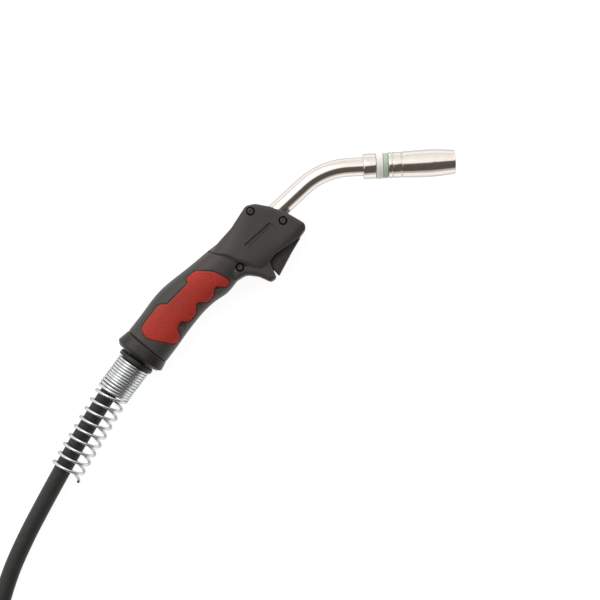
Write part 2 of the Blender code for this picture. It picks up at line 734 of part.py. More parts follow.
def add_nozzle_stack(axis_y):
    """Everything on the nozzle's axis, from the neck's collar to the contact tip."""
    line = add_object("nozzle_axis", None, None, (0, axis_y, HEAD_HALF))
    neck_bore = NECK_RADIUS + GAP
    collar_end = COLLAR_X + COLLAR_LENGTH
    collar = [
        (COLLAR_X, neck_bore),
        (COLLAR_X, COLLAR_RADIUS - 1 * MM),
        (COLLAR_X + 1 * MM, COLLAR_RADIUS),
        (collar_end, COLLAR_RADIUS),
        (collar_end, neck_bore),
    ]
    solid("neck_collar", turned(collar), "nickel", line)

    ring_start = collar_end + GAP
    ring_end = ring_start + INSULATOR_LENGTH
    sleeve = NOZZLE_BORE - 1.3 * GAP
    insulator = [
        (ring_start, HOLDER_RADIUS + GAP),
        (ring_start, INSULATOR_RADIUS),
        (ring_end, INSULATOR_RADIUS),
        (ring_end, sleeve),
        (ring_end + SLEEVE_LENGTH, sleeve),
        (ring_end + SLEEVE_LENGTH, HOLDER_RADIUS + GAP),
    ]
    solid("nozzle_insulator", turned(insulator), "white_insulator", line)

    seal_start = ring_end + GAP
    nozzle_start = seal_start + SEAL_LENGTH + GAP
    seal = tube(SEAL_RADIUS, NOZZLE_BORE, seal_start, seal_start + SEAL_LENGTH, 24)
    solid("insulator_seal", seal, "green_seal", line)

    mouth = nozzle_start + NOZZLE_LENGTH
    wide = NOZZLE_BORE + NOZZLE_WALL
    nozzle = [
        (nozzle_start, NOZZLE_BORE),
        (nozzle_start, wide),
        (nozzle_start + 12 * MM, wide),
        (nozzle_start + 25 * MM, wide + 0.6 * NOZZLE_BULGE),
        (nozzle_start + 38 * MM, wide + NOZZLE_BULGE),
        (nozzle_start + 46 * MM, wide + 0.3 * NOZZLE_BULGE),
        (mouth, NOZZLE_MOUTH + 1.3 * NOZZLE_WALL),
        (mouth, NOZZLE_MOUTH),
        (mouth - TIP_RECESS, NOZZLE_MOUTH),
        (nozzle_start + 34 * MM, NOZZLE_BORE),
    ]
    solid("gas_nozzle", turned(nozzle), "nickel", line)

    tip_end = mouth - TIP_RECESS
    tip_start = tip_end - TIP_LENGTH
    shank = 0.7 * TIP_RADIUS
    tip = [
        (tip_start - TIP_SHANK, TIP_BORE),
        (tip_start - TIP_SHANK, shank),
        (tip_start, shank),
        (tip_start, TIP_RADIUS),
        (tip_end - 4 * MM, TIP_RADIUS),
        (tip_end, 0.7 * TIP_RADIUS),
        (tip_end, TIP_BORE),
    ]
    solid("contact_tip", turned(tip, 16), "copper", line)

    holder_start = NECK_END_X + 2 * MM + GAP
    step_x = ring_end + SLEEVE_LENGTH
    holder_end = tip_start - GAP
    seat_end = tip_start - TIP_SHANK - GAP
    holder = [
        (holder_start, 1.6 * MM),
        (holder_start, HOLDER_RADIUS),
        (step_x, HOLDER_RADIUS),
        (step_x, HOLDER_NOSE),
        (holder_end, HOLDER_NOSE),
        (holder_end, shank + GAP),
        (seat_end, shank + GAP),
        (seat_end, 1.6 * MM),
    ]
    solid("tip_holder", turned(holder, 16), "brass", line)

    diffuser_start = step_x + GAP
    diffuser_end = diffuser_start + DIFFUSER_LENGTH
    ring = tube(DIFFUSER_RADIUS, HOLDER_NOSE + GAP, diffuser_start, diffuser_end)
    diffuser = solid("gas_diffuser", ring, "white_insulator", line)
    middle = (diffuser_start + diffuser_end) / 2
    for number in range(DIFFUSER_HOLES):
        turn = math.tau * number / DIFFUSER_HOLES
        hole = rod(1.1 * MM, HOLDER_NOSE - 1 * MM, DIFFUSER_RADIUS + 1 * MM, 8)
        bmesh.ops.transform(hole, matrix=Matrix.Rotation(math.pi / 2, 4, "Y"), verts=hole.verts)
        cutter = guide(f"gas_hole_{number + 1}", hole, line, (middle, 0, 0), (turn, 0, 0))
        combine(diffuser, "DIFFERENCE", cutter)
    return mouth


# ================================================================ trigger and switch
def add_trigger(frame):
    pivot = add_object("trigger_pivot", None, frame, (*PIVOT_UV, 0))
    about = Matrix.Translation((-PIVOT_UV[0], -PIVOT_UV[1], 0))
    body = extruded(rounded(TRIGGER_OUTLINE), -TRIGGER_HALF, TRIGGER_HALF, 0)
    bmesh.ops.transform(body, matrix=about, verts=body.verts)
    trigger = solid("trigger", body, "black_plastic", pivot)
    flat = (0, -math.pi / 2, 0)
    hole = rod(PIN_RADIUS + GAP, -2 * TRIGGER_HALF, 2 * TRIGGER_HALF)
    reach = 3.5 * MM
    pocket = box(
        (-9 * MM, -reach, -SPRING_POCKET_HALF), (reach, 10 * MM, SPRING_POCKET_HALF)
    )
    combine(
        trigger,
        "DIFFERENCE",
        guide("trigger_bore", hole, pivot, (0, 0, 0), flat),
        guide("spring_pocket", pocket, pivot),
    )
    solid("trigger_pin", rod(PIN_RADIUS, -PIN_HALF, PIN_HALF), "zinc_steel", pivot, (0, 0, 0), flat)

    wire, coil, turns, steps = 0.4 * MM, 2.6 * MM, 3, 8
    rise = 3 * wire
    path = [Vector((-7 * MM, coil, -turns * rise / 2))]
    for step in range(turns * steps + 1):
        angle = math.pi / 2 - math.tau * step / steps
        height = (step / steps - turns / 2) * rise
        path.append(Vector((coil * math.cos(angle), coil * math.sin(angle), height)))
    solid("trigger_spring", swept(path, wire, 4), "zinc_steel", pivot)


def add_switch(frame):
    long, tall, thick = SWITCH_SIZE
    bottom = SWITCH_FLOOR_V + GAP
    low = (SWITCH_U - long / 2, bottom, -thick / 2)
    high = (SWITCH_U + long / 2, bottom + tall, thick / 2)
    body = solid("switch_body", box(low, high), "black_plastic", frame)
    plunger_top = bottom + tall / 2 - 0.6 * MM
    upright = (0, 0, math.pi / 2)
    hole = rod(PLUNGER_RADIUS + GAP, bottom - 1 * MM, plunger_top + PLUNGER_STROKE + 2 * GAP, 12)
    cutter = guide("switch_bore", hole, frame, (PLUNGER_U, 0, 0), upright)
    combine(body, "DIFFERENCE", cutter)
    plunger = rod(PLUNGER_RADIUS, PLUNGER_TIP_V, plunger_top, 12)
    solid("switch_plunger", plunger, "white_insulator", frame, (PLUNGER_U, 0, 0), upright)

    back = low[0] - GAP
    for name, side in (("a", 1), ("b", -1)):
        w = side * 2 * MM
        blade = box(
            (back - 4 * MM, bottom + 3 * MM, w - 0.4 * MM), (back, bottom + 6 * MM, w + 0.4 * MM)
        )
        solid(f"switch_terminal_{name}", blade, "brass", frame)
        route = [
            (back - 4 * MM - 3 * GAP, bottom + 4.5 * MM, w),
            (back - 6.5 * MM, bottom + 8 * MM, side * 4 * MM),
            (back - 11 * MM, bottom + 16 * MM, side * 7.5 * MM),
            (back - 24 * MM, bottom + 18.5 * MM, side * 11 * MM),
            (back - 38 * MM, bottom + 19.5 * MM, side * 11.8 * MM),
        ]
        wire = swept(smooth_curve(route, 4 * MM), SWITCH_WIRE_RADIUS, 6)
        solid(f"switch_wire_{name}", wire, "red_wire", frame)


def add_cable_joint(frame, neck_frame):
    """The nipple, its crimp and the cable's end, inside the grip."""
    start = -NECK_INSERTED - 2 * GAP
    crimp_start = start - 32 * MM
    nipple = tube(NIPPLE_RADIUS, 2.2 * MM, crimp_start - 8 * MM, start, 12)
    solid("hose_nipple", nipple, "brass", neck_frame)
    crimp = [
        (crimp_start, NIPPLE_RADIUS + GAP),
        (crimp_start, CRIMP_RADIUS),
        (crimp_start - CRIMP_LENGTH, CRIMP_RADIUS),
        (crimp_start - CRIMP_LENGTH, CABLE_RADIUS + GAP),
        (crimp_start - 8 * MM - GAP, CABLE_RADIUS + GAP),
        (crimp_start - 8 * MM - GAP, NIPPLE_RADIUS + GAP),
    ]
    solid("crimp_sleeve", turned(crimp, 16), "copper", neck_frame)
    cable_start = crimp_start - 8 * MM - 2 * GAP
    cable_leaves = crimp_start - CRIMP_LENGTH
    rise = -math.tan(NECK_TILT)
    last_u, top, bottom, _ = GRIP_STATIONS[-1]
    route = [
        (cable_start, NECK_ROOT_V - rise * cable_start, 0),
        (cable_leaves, NECK_ROOT_V - rise * cable_leaves, 0),
        (cable_leaves - 8 * MM, NECK_ROOT_V - rise * cable_leaves, 0),
        ((last_u + 20) * MM, (top + bottom) / 2 * MM + 2.4 * MM, 0),
        ((last_u + 4) * MM, (top + bottom) / 2 * MM + 0.5 * MM, 0),
    ]
    cable = swept(smooth_curve(route, 12 * MM), CABLE_RADIUS)
    solid("cable_end_inside", cable, "cable_rubber", frame)


# ================================================================ cable
def add_strain_relief(seat_frame, seat_direction):
    """The steel spring: closed turns on the seat, then open turns that follow the cable."""
    start = seat_frame.location + seat_direction * (SEAT_THICKNESS + GAP + WIRE_RADIUS)
    closed = CLOSED_TURNS * CLOSED_PITCH
    line = [start, start + seat_direction * closed * 0.5, start + seat_direction * closed]
    axis = smooth_curve([*line, *SPRING_ROUTE], 1 * MM)
    radius = SPRING_RADIUS - WIRE_RADIUS
    path = []
    for step in range((CLOSED_TURNS + OPEN_TURNS) * SPRING_STEPS + 1):
        turn = step / SPRING_STEPS
        open_turn = max(0, turn - CLOSED_TURNS)
        run = min(turn, CLOSED_TURNS) * CLOSED_PITCH + open_turn * OPEN_PITCH
        spot = min(run / (1 * MM), len(axis) - 1.001)
        index = int(spot)
        ahead = (axis[min(index + 1, len(axis) - 1)] - axis[max(index - 1, 0)]).normalized()
        side = Vector((0, 0, 1)).cross(ahead).normalized()
        up = ahead.cross(side)
        middle = axis[index].lerp(axis[index + 1], spot - index)
        angle = math.tau * turn
        path.append(middle + radius * (side * math.cos(angle) + up * math.sin(angle)))
    solid("strain_relief_spring", swept(path, WIRE_RADIUS, 4), "zinc_steel")


def coil_point(angle, radius, height):
    x, y = COIL_CENTRE
    return Vector((x + radius * math.cos(angle), y + radius * math.sin(angle), height))


def add_cable(exit_point, direction):
    """The free cable: a lead from the torch, a coil, and a tail into the connector."""
    low = COIL_BOTTOM + CABLE_RADIUS
    high = low + LANE
    outer = COIL_MIDDLE_RADIUS + LANE
    entry = coil_point(math.pi, outer, low)
    route = [exit_point - direction * 22 * MM, exit_point, *LEAD_ROUTE, entry]
    lead = smooth_curve(route, CORD_SPACING)
    ring_edge = outer + CABLE_RADIUS + GAP
    centre = Vector((*COIL_CENTRE, low))
    clear = [point for point in lead if (point - centre).length > ring_edge + CABLE_RADIUS + 1 * MM]
    clear = [point for point in clear if point.y > COIL_CENTRE[1]]
    cord_tube("cable_lead", clear, "cable_rubber")

    meet = clear[-1]
    ahead = (meet - clear[-2]).normalized()
    stub = [meet + ahead * GAP, meet + ahead * 3 * MM, *lead[len(clear) :]]

    inner = COIL_MIDDLE_RADIUS - LANE - CABLE_RADIUS
    far = outer + CABLE_RADIUS
    top = high + CABLE_RADIUS
    chamfer = 4 * MM
    profile = [
        (inner, COIL_BOTTOM + chamfer),
        (inner + chamfer, COIL_BOTTOM),
        (far - chamfer, COIL_BOTTOM),
        (far, COIL_BOTTOM + chamfer),
        (far, top - chamfer),
        (far - chamfer, top),
        (inner + LANE, top),
        (inner, low + CABLE_RADIUS),
    ]
    ring = turned([(z, r) for r, z in profile], 24)
    bmesh.ops.transform(ring, matrix=Matrix.Rotation(-math.pi / 2, 4, "Y"), verts=ring.verts)
    coil = solid("cable_coil", ring, "cable_rubber", None, (*COIL_CENTRE, 0))
    combine(coil, "UNION", guide("coil_entry", swept(stub, CABLE_RADIUS - 0.1 * MM)))

    leave = coil_point(-math.pi / 2, outer, high)
    stub_end = leave + Vector((math.sqrt((ring_edge + CABLE_RADIUS) ** 2 - outer**2) + 2 * MM, 0, 0))
    exit_stub = swept([leave, stub_end], CABLE_RADIUS - 0.1 * MM)
    combine(coil, "UNION", guide("coil_exit", exit_stub))
    plug_end = Vector((PLUG_X - PLUG_BODY_LENGTH - GAP, leave.y, high))
    tail = smooth_curve([stub_end + Vector((GAP, 0, 0)), plug_end], CORD_SPACING)
    cord_tube("cable_tail", tail, "cable_rubber")
    return leave.y, high


# ================================================================ central connector
def add_connector(y, z):
    line = add_object("plug_axis", None, None, (PLUG_X, y, z))
    body_end = NUT_BACK + 0.2 * MM
    pin_root = body_end - 10.5 * MM
    body_start = body_end - PLUG_BODY_LENGTH
    bore = SPIGOT_RADIUS + GAP
    body = solid("plug_body", tube(PLUG_BODY_RADIUS, bore, body_start, body_end, 20), "brass", line)
    flange_start = body_end + GAP
    flange_end = flange_start + FLANGE_THICKNESS
    disc = tube(FLANGE_RADIUS, bore, flange_start, flange_end, 20)
    flange = solid("plug_flange", disc, "black_plastic", line)
    for name, (pin_y, pin_z) in zip("ab", CONTROL_PIN_YZ):
        place = (0, pin_y, pin_z)
        hole = rod(CONTROL_PIN_RADIUS + GAP, pin_root, flange_end + 1 * MM, 12)
        cutter = guide(f"control_hole_{name}", hole, line, place)
        combine(body, "DIFFERENCE", cutter)
        combine(flange, "DIFFERENCE", cutter)
        start = pin_root + CONTROL_PIN_TRAVEL + 2 * GAP
        pin = [
            (start, 0),
            (start, CONTROL_PIN_RADIUS),
            (flange_end + 9 * MM, CONTROL_PIN_RADIUS),
            (flange_end + 10 * MM, CONTROL_PIN_RADIUS - 1 * MM),
            (flange_end + 10 * MM, 0),
        ]
        solid(f"control_pin_{name}", turned(pin, 12), "brass", line, place)

    wall_bore = PLUG_BODY_RADIUS + 2 * GAP
    nut = [
        (0, wall_bore),
        (0, NUT_RADIUS - 1.5 * MM),
        (1.5 * MM, NUT_RADIUS),
        (NUT_LENGTH - 1.5 * MM, NUT_RADIUS),
        (NUT_LENGTH, NUT_RADIUS - 1.5 * MM),
        (NUT_LENGTH, NUT_BORE),
        (NUT_BACK, NUT_BORE),
        (NUT_BACK, wall_bore),
    ]
    solid("plug_nut", turned(nut, 24), "black_plastic", line)

    spigot_end = flange_end + SPIGOT_LENGTH
    spigot = tube(SPIGOT_RADIUS, LINER_RADIUS, body_end - 12 * MM, spigot_end, 16)
    solid("gas_spigot", spigot, "brass", line)
    ring_x = spigot_end - 7 * MM
    ring_bore = SPIGOT_RADIUS + GAP
    seal = [
        (ring_x - 1 * MM, ring_bore),
        (ring_x - 1 * MM, ring_bore + 0.8 * MM),
        (ring_x, ring_bore + 1.4 * MM),
        (ring_x + 1 * MM, ring_bore + 0.8 * MM),
        (ring_x + 1 * MM, ring_bore),
    ]
    solid("spigot_o_ring", turned(seal, 16), "cable_rubber", line)
    nut_start = spigot_end + GAP
    solid("liner_nut", tube(5 * MM, LINER_RADIUS, nut_start, nut_start + 7 * MM, 6), "brass", line)

    start = -1 * MM
    end = start - HOUSING_LENGTH
    inside = PLUG_BODY_RADIUS + GAP
    cable_bore = CABLE_RADIUS + 2 * GAP
    shoulder = body_start - 2 * GAP
    housing = [
        (start, inside),
        (start, HOUSING_RADIUS),
        (start - 22 * MM, HOUSING_RADIUS),
        (start - 30 * MM, HOUSING_RADIUS - 3 * MM),
        (start - 50 * MM, HOUSING_RADIUS - 3 * MM),
        (start - 58 * MM, HOUSING_RADIUS - 1 * MM),
        (end + 3 * MM, HOUSING_RADIUS - 3 * MM),
        (end, HOUSING_RADIUS - 6 * MM),
        (end, cable_bore),
        (shoulder, cable_bore),
        (shoulder, inside),
    ]
    cover = solid("plug_housing", turned(housing, 20), "black_plastic", line)
    screw_x = start - 11 * MM
    hole = rod(SCREW_RADIUS + GAP, PLUG_BODY_RADIUS - 4 * MM, HOUSING_RADIUS + 1 * MM, 12)
    up = (0, -math.pi / 2, 0)
    cutter = guide("plug_screw_hole", hole, line, (screw_x, 0, 0), up)
    combine(cover, "DIFFERENCE", cutter)
    combine(body, "DIFFERENCE", cutter)
    screw = rod(SCREW_RADIUS, PLUG_BODY_RADIUS - 4 * MM + GAP, HOUSING_RADIUS - 0.5 * MM, 12)
    solid("plug_screw", screw, "dark_steel", line, (screw_x, 0, 0), up)

    boot_start = end - GAP
    boot_end = boot_start - BOOT_LENGTH
    ribs = 4
    profile = [(boot_start, CABLE_RADIUS + GAP)]
    for rib in range(ribs):
        near = boot_start - BOOT_LENGTH * rib / ribs
        far = boot_start - BOOT_LENGTH * (rib + 0.6) / ribs
        radius = BOOT_RADIUS - 1.6 * MM * rib / ribs
        profile += [(near, radius), (far, radius), (far, radius - 1 * MM)]
    profile += [(boot_end, profile[-1][1]), (boot_end, CABLE_RADIUS + GAP)]
    solid("plug_boot", turned(profile, 12), "cable_rubber", line)


def main():
    for old in list(bpy.data.objects):
        bpy.data.objects.remove(old, do_unlink=True)
    frame = add_object("handle_frame", None, None, handle_to_row(0, 0), (0, 0, HANDLE_ANGLE))
    rear = math.pi + HANDLE_ANGLE + REAR_TILT
    direction = Vector((math.cos(rear), math.sin(rear), 0))
    u, top, bottom, _ = GRIP_STATIONS[-1]
    ring_middle = (u - 0.8, (top + bottom) / 2)
    seat_at = handle_to_row(ring_middle[0] * MM, ring_middle[1] * MM)
    seat_at += direction * (RING_LENGTH + 1 * MM + GAP)
    seat_frame = add_object("seat_frame", None, None, seat_at, (0, 0, rear))

    neck_frame = add_object("neck_frame", None, frame, (0, NECK_ROOT_V, 0), (0, 0, NECK_TILT))
    add_handle(frame, neck_frame)
    add_rear_ring(frame, seat_frame)
    add_screws(frame)
    add_neck(neck_frame)
    add_nozzle_stack(neck_path(0, 0)[-1].y)
    add_trigger(frame)
    add_switch(frame)
    add_cable_joint(frame, neck_frame)
    add_strain_relief(seat_frame, direction)
    add_connector(*add_cable(seat_at + direction * SEAT_THICKNESS, direction))


main()
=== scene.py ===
"""Looks of a MIG welding torch, its cable and its central connector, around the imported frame.

Lengths are in metres and +Z is up. Outlines, stations and profiles are in millimetres.
The handle has a frame of its own: u along the grip to the neck, v across it away from the
trigger, and w up from the seam between the shells.
"""

import json
import math

import bmesh
import bpy
from mathutils import Matrix, Vector


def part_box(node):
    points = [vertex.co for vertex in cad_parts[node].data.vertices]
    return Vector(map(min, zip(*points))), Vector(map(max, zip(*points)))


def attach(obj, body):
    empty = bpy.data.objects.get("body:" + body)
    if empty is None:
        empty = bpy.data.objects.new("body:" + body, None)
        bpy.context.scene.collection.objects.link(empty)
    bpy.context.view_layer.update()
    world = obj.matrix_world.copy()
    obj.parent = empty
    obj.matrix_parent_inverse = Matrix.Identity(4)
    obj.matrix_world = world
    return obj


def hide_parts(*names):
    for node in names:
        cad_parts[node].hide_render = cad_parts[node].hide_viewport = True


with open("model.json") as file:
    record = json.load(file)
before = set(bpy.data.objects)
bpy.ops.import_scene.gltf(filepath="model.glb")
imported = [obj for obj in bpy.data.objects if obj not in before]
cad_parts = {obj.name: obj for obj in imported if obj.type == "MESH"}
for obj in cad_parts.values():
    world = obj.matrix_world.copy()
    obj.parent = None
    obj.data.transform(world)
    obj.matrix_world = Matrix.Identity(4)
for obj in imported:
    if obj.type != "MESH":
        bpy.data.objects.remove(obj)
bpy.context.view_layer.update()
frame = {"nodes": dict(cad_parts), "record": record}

bl_info = {
    "name": "Welding Torch",
    "version": (1, 0, 0),
    "blender": (4, 5, 0),
    "location": "View3D > Sidebar > Torch",
    "description": "Builds the looks of a MIG welding torch around its frame",
    "category": "Object",
}

MM = 0.001
GAP = 0.3 * MM
X_AXIS = Vector((1, 0, 0))
Z_AXIS = Vector((0, 0, 1))

# ---------------------------------------------------------------- places, as the frame has them
HANDLE_ANGLE = math.radians(42)
HEAD_HALF = 19 * MM
GRIP_HALF = 17.4 * MM
BENCH_UV = Vector((-24 * MM, -9 * MM, 0))
HANDLE = (
    Matrix.Translation((0, 0, HEAD_HALF))
    @ Matrix.Rotation(HANDLE_ANGLE, 4, "Z")
    @ Matrix.Translation(-BENCH_UV)
)
NECK_TILT = math.radians(-2)
NECK_FRAME = HANDLE @ Matrix.Translation((0, 0.4 * MM, 0)) @ Matrix.Rotation(NECK_TILT, 4, "Z")
NECK_BEND_RADIUS = 62 * MM
NECK_STRAIGHT = 28 * MM
NECK_ROOT = -38 * MM
NECK_END = 94 * MM
NECK_RADIUS = 8 * MM
NECK_BORE = 6.6 * MM
REAR = math.pi + HANDLE_ANGLE + math.radians(9)
REAR_WAY = Vector((math.cos(REAR), math.sin(REAR), 0))
RING_LENGTH = 12.5 * MM
SEAT = HANDLE @ Vector((-162.8 * MM, -2.75 * MM, 0)) + REAR_WAY * (RING_LENGTH + 1 * MM + GAP)
SEAT_FRAME = Matrix.Translation(SEAT) @ Matrix.Rotation(REAR, 4, "Z")
SEAT_RIM = 4  # millimetres from the seat's front to where the spring rests
FLAT = Matrix.Rotation(-math.pi / 2, 4, "Y")  # a part turned about X stands up on the cheek

NOZZLE_LOW, NOZZLE_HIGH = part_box("gas_nozzle")
NOZZLE_LINE = Matrix.Translation((0, (NOZZLE_LOW.y + NOZZLE_HIGH.y) / 2, HEAD_HALF))
NUT_LOW, NUT_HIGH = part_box("plug_nut")
PLUG_LINE = Matrix.Translation((NUT_LOW.x, *((NUT_LOW + NUT_HIGH) / 2).yz))

# ---------------------------------------------------------------- the handle's outlines
HEAD_OUTLINE = [
    (-67.5, 14.8, 4),
    (-60, 16.2, 12),
    (-40.5, 16.9, 26),
    (-18.8, 21.6, 6),
    (-12, 17.3, 8),
    (-4.3, 6.1, 20),
    (1.9, -7.6, 20),
    (7.2, -27.6, 6.5),
    (-5, -29.2, 8),
    (-30, -24.9, 10),
    (-37.2, -25.8, 3),
    (-44, -28, 4),
    (-49.5, -20.5, 6),
    (-56.5, -8.5, 20),
    (-61, 4, 20),
]
HORN_OUTLINE = [
    (-36, -12, 0),
    (-37.4, -26, 5),
    (-40.9, -34, 6),
    (-43.2, -40.2, 2.8),
    (-49.4, -38.8, 3.4),
    (-53.2, -28.5, 12),
    (-60, -19.6, 10),
    (-70, -17.4, 0),
    (-66, -8, 0),
]
# Station along the head: u, top and bottom of its rounded section, and how square it is.
HEAD_STATIONS = [
    (-74, 16.6, -22, 2.5),
    (-66, 17.2, -24, 2.6),
    (-58, 18.2, -27, 2.9),
    (-50, 18.9, -30, 3.4),
    (-40, 20.2, -31, 4.2),
    (-30, 23.2, -31.5, 5),
    (-19, 26.5, -32.5, 5.6),
    (-8, 26.5, -33, 5.6),
    (10, 26.5, -33, 5.6),
]
# Station along the grip: u, top and bottom, and its lean in degrees.
GRIP_STATIONS = [
    (-50, 14.5, -9.5, 0),
    (-58, 16.6, -17.2, 0),
    (-70, 18.2, -18.1, 0),
    (-82, 19.2, -19.1, 0),
    (-94, 20.4, -16.9, 0),
    (-106, 21.9, -16.2, 0),
    (-119, 23, -17.2, 0),
    (-132, 22.1, -18.9, 1),
    (-146, 19.8, -21.2, 3),
    (-162, 17.9, -23.4, 5),
]
SECTION_POWER = 2.5
INLAY_OUTLINE = [
    (-155.6, 11.2, 9),
    (-129, 14.9, 6),
    (-124.6, 9.6, 3),
    (-99.4, 9.8, 1.5),
    (-98.2, 13.9, 2),
    (-87.5, 13.2, 8),
    (-77, 1.5, 14),
    (-72.3, -13.6, 4),
    (-78.6, -15.8, 3),
    (-85.6, -7.6, 3),
    (-91.5, -13.4, 5),
    (-99.5, -13.2, 4),
    (-105.4, -6.2, 3),
    (-112.5, -13.2, 5),
    (-121.6, -13.8, 5),
    (-126.6, -8.4, 3),
    (-132.8, -10.6, 3),
    (-136, -17.6, 3),
    (-143.8, -18.9, 4),
    (-156.8, 0.6, 9),
]
FINGER_DISHES = [(-84.2, -12.2), (-105, -11.4), (-127.6, -13.2)]
SCREWS = [(-19.1, 15.2, 1.2), (-5.3, -9.8, 1.2), (-58.9, -11.9, 5)]  # u, v, how far it is sunk
SCREW_HEAD = 2.4
PIVOT = Vector((-10 * MM, -25.5 * MM, 0))
TRIGGER_SLOT = ((-42.4, -60, -8), (-3.6, -22, 8))
TRIGGER_HALF = 7.5 * MM
TRIGGER_FRONT = Vector((-5, -29.9))
TRIGGER_BEND = Vector((-18.8, -33.4))
TRIGGER_END = Vector((-40, -39.9))
TRIGGER_OUT = Vector((0.26, -0.97))
TRIGGER_BACK = [
    (-40.6, -39.9, 0.5),
    (-40.3, -31, 1),
    (-38.8, -26.5, 1),
    (-34, -25, 1),
    (-14.5, -23.3, 2),
    (-7.2, -22.6, 2),
    (-5, -26, 1),
]
TRIGGER_RIDGES = 21
# Along the locking ring: the share of its length, and how far it stands out there.
RING_SHAPE = [
    (0, -0.9),
    (0.02, -0.4),
    (0.08, 0),
    (0.4, 0.35),
    (0.72, 0.7),
    (0.8, 0.5),
    (1, -2.7),
    (1.01, -3.4),
]

# ---------------------------------------------------------------- the connector
BOOT_START = -68.3
BOOT_RIBS, BOOT_PITCH = 8, 4.5
PIN_SIDES = {"a": -5, "b": 5}
PIN_HEIGHT = -11

# ---------------------------------------------------------------- the cable's route, in metres
SPRING_ROUTE = [(-0.1600, -0.1583, 0.0172), (-0.1843, -0.1940, 0.0152)]
LEAD_ROUTE = [
    (-0.1290, -0.1135, 0.0188),
    (-0.1402, -0.1238, 0.0182),
    (-0.1540, -0.1423, 0.0175),
    (-0.1715, -0.1675, 0.0162),
    (-0.1875, -0.1925, 0.0140),
    (-0.2045, -0.2195, 0.0105),
    (-0.2215, -0.2480, 0.0082),
    (-0.2370, -0.2790, 0.0078),
    (-0.2490, -0.3140, 0.0078),
    (-0.2575, -0.3560, 0.0078),
]
COIL_CENTRE = Vector((-0.154, -0.428, 0))
COIL_LOW = 0.0078
# Turn at which the cable starts and ends each move: turn, turn, radius and height after it.
COIL_MOVES = [
    (0, 0, 0.108, 0),
    (0.84, 0.985, 0.093, 0),
    (1.84, 1.985, 0.078, 0),
    (2.70, 2.93, 0.078, 1),
    (3.02, 3.40, 0.093, 1),
    (3.84, 4.10, 0.108, 1),
]
COIL_TURNS = 4.25
LAYER_RISE = 0.015
SPRING_RADIUS = 13.55 * MM  # of the line that the wire's middle follows
CLOSED_TURNS, CLOSED_PITCH = 12, 2.55 * MM
OPEN_TURNS, OPEN_PITCH = 9, 9 * MM

# ---------------------------------------------------------------- the studio
MOULDING_SHINE = 0.4
METAL_SHINE = 0.5
# The studio's light from the side behind the handle over the top to the trigger's side, in
# degrees from straight up.
STUDIO_BANDS = [
    (-180, (0.5, 0.49, 0.48)),
    (-92, (0.74, 0.72, 0.7)),
    (-60, (0.86, 0.83, 0.8)),
    (-16, (0.97, 0.94, 0.9)),
    (-1, (1, 0.97, 0.93)),
    (4, (0.1, 0.088, 0.079)),
    (64, (0.08, 0.07, 0.063)),
    (74, (0.5, 0.48, 0.46)),
    (94, (0.52, 0.5, 0.48)),
    (180, (0.3, 0.29, 0.28)),
]
SKY_SIDE = (0.34, -0.94, 0)
SKY_STRENGTH = 1.15
FLOOR_GLOW = 0.93
KEY_PLACE = Vector((-0.5, 0.7, 1.1))
KEY_TARGET = Vector((-0.02, -0.03, 0))
KEY_SIZE = 0.9
KEY_POWER = 5
WARM_WHITE = (1.0, 0.97, 0.93)
CAMERA_PLACE = (0.0252, -0.0556, HEAD_HALF + 1.2)
CAMERA_TURN = math.radians(-3)
LENS = 84.2


# ================================================================ meshes
def rounded(corners, steps=6, closed=True):
    """Turns (x, y, radius) corners in millimetres into a line in metres with round corners."""
    before = [corners[-1], *corners[:-1]]
    after = [*corners[1:], corners[0]]
    line = []
    for i, ((ax, ay, *_), (bx, by, radius), (cx, cy, *_)) in enumerate(zip(before, corners, after)):
        corner = Vector((bx, by)) * MM
        to_a = Vector((ax, ay)) * MM - corner
        to_c = Vector((cx, cy)) * MM - corner
        if radius == 0 or (not closed and i in (0, len(corners) - 1)):
            line.append(corner)
            continue
        half = to_a.angle(to_c) / 2
        reach = min(radius * MM / math.tan(half), 0.48 * to_a.length, 0.48 * to_c.length)
        fillet = reach * math.tan(half)
        middle = (to_a.normalized() + to_c.normalized()).normalized()
        centre = corner + middle * fillet / math.sin(half)
        first = corner + to_a.normalized() * reach - centre
        last = corner + to_c.normalized() * reach - centre
        for step in range(steps + 1):
            line.append(centre + first.lerp(last, step / steps).normalized() * fillet)
    return line


def turned(profile, steps=72, fillet_steps=4):
    """Spins a profile of (x, radius, corner) in millimetres round X."""
    closed = profile[0][1] > 0
    line = rounded(profile, fillet_steps, closed)
    bm = bmesh.new()
    verts = [bm.verts.new((point.x, 0, point.y)) for point in line]
    edges = [bm.edges.new(pair) for pair in zip(verts, verts[1:])]
    if closed:
        edges.append(bm.edges.new((verts[-1], verts[0])))
    bmesh.ops.spin(
        bm,
        geom=verts + edges,
        axis=X_AXIS,
        cent=(0, 0, 0),
        angle=math.tau,
        steps=steps,
        use_merge=True,
    )
    bmesh.ops.remove_doubles(bm, verts=bm.verts, dist=1e-7)
    bmesh.ops.recalc_face_normals(bm, faces=bm.faces)
    return bm


def pipe(start, end, inner, outer, inner_edge=0, outer_edge=0):
    """The profile of a plain tube, in millimetres."""
    return [
        (start, inner, inner_edge),
        (start, outer, outer_edge),
        (end, outer, outer_edge),
        (end, inner, inner_edge),
    ]


def rod(radius, start, end, steps=32):
    return turned(pipe(start, end, 0, radius), steps)


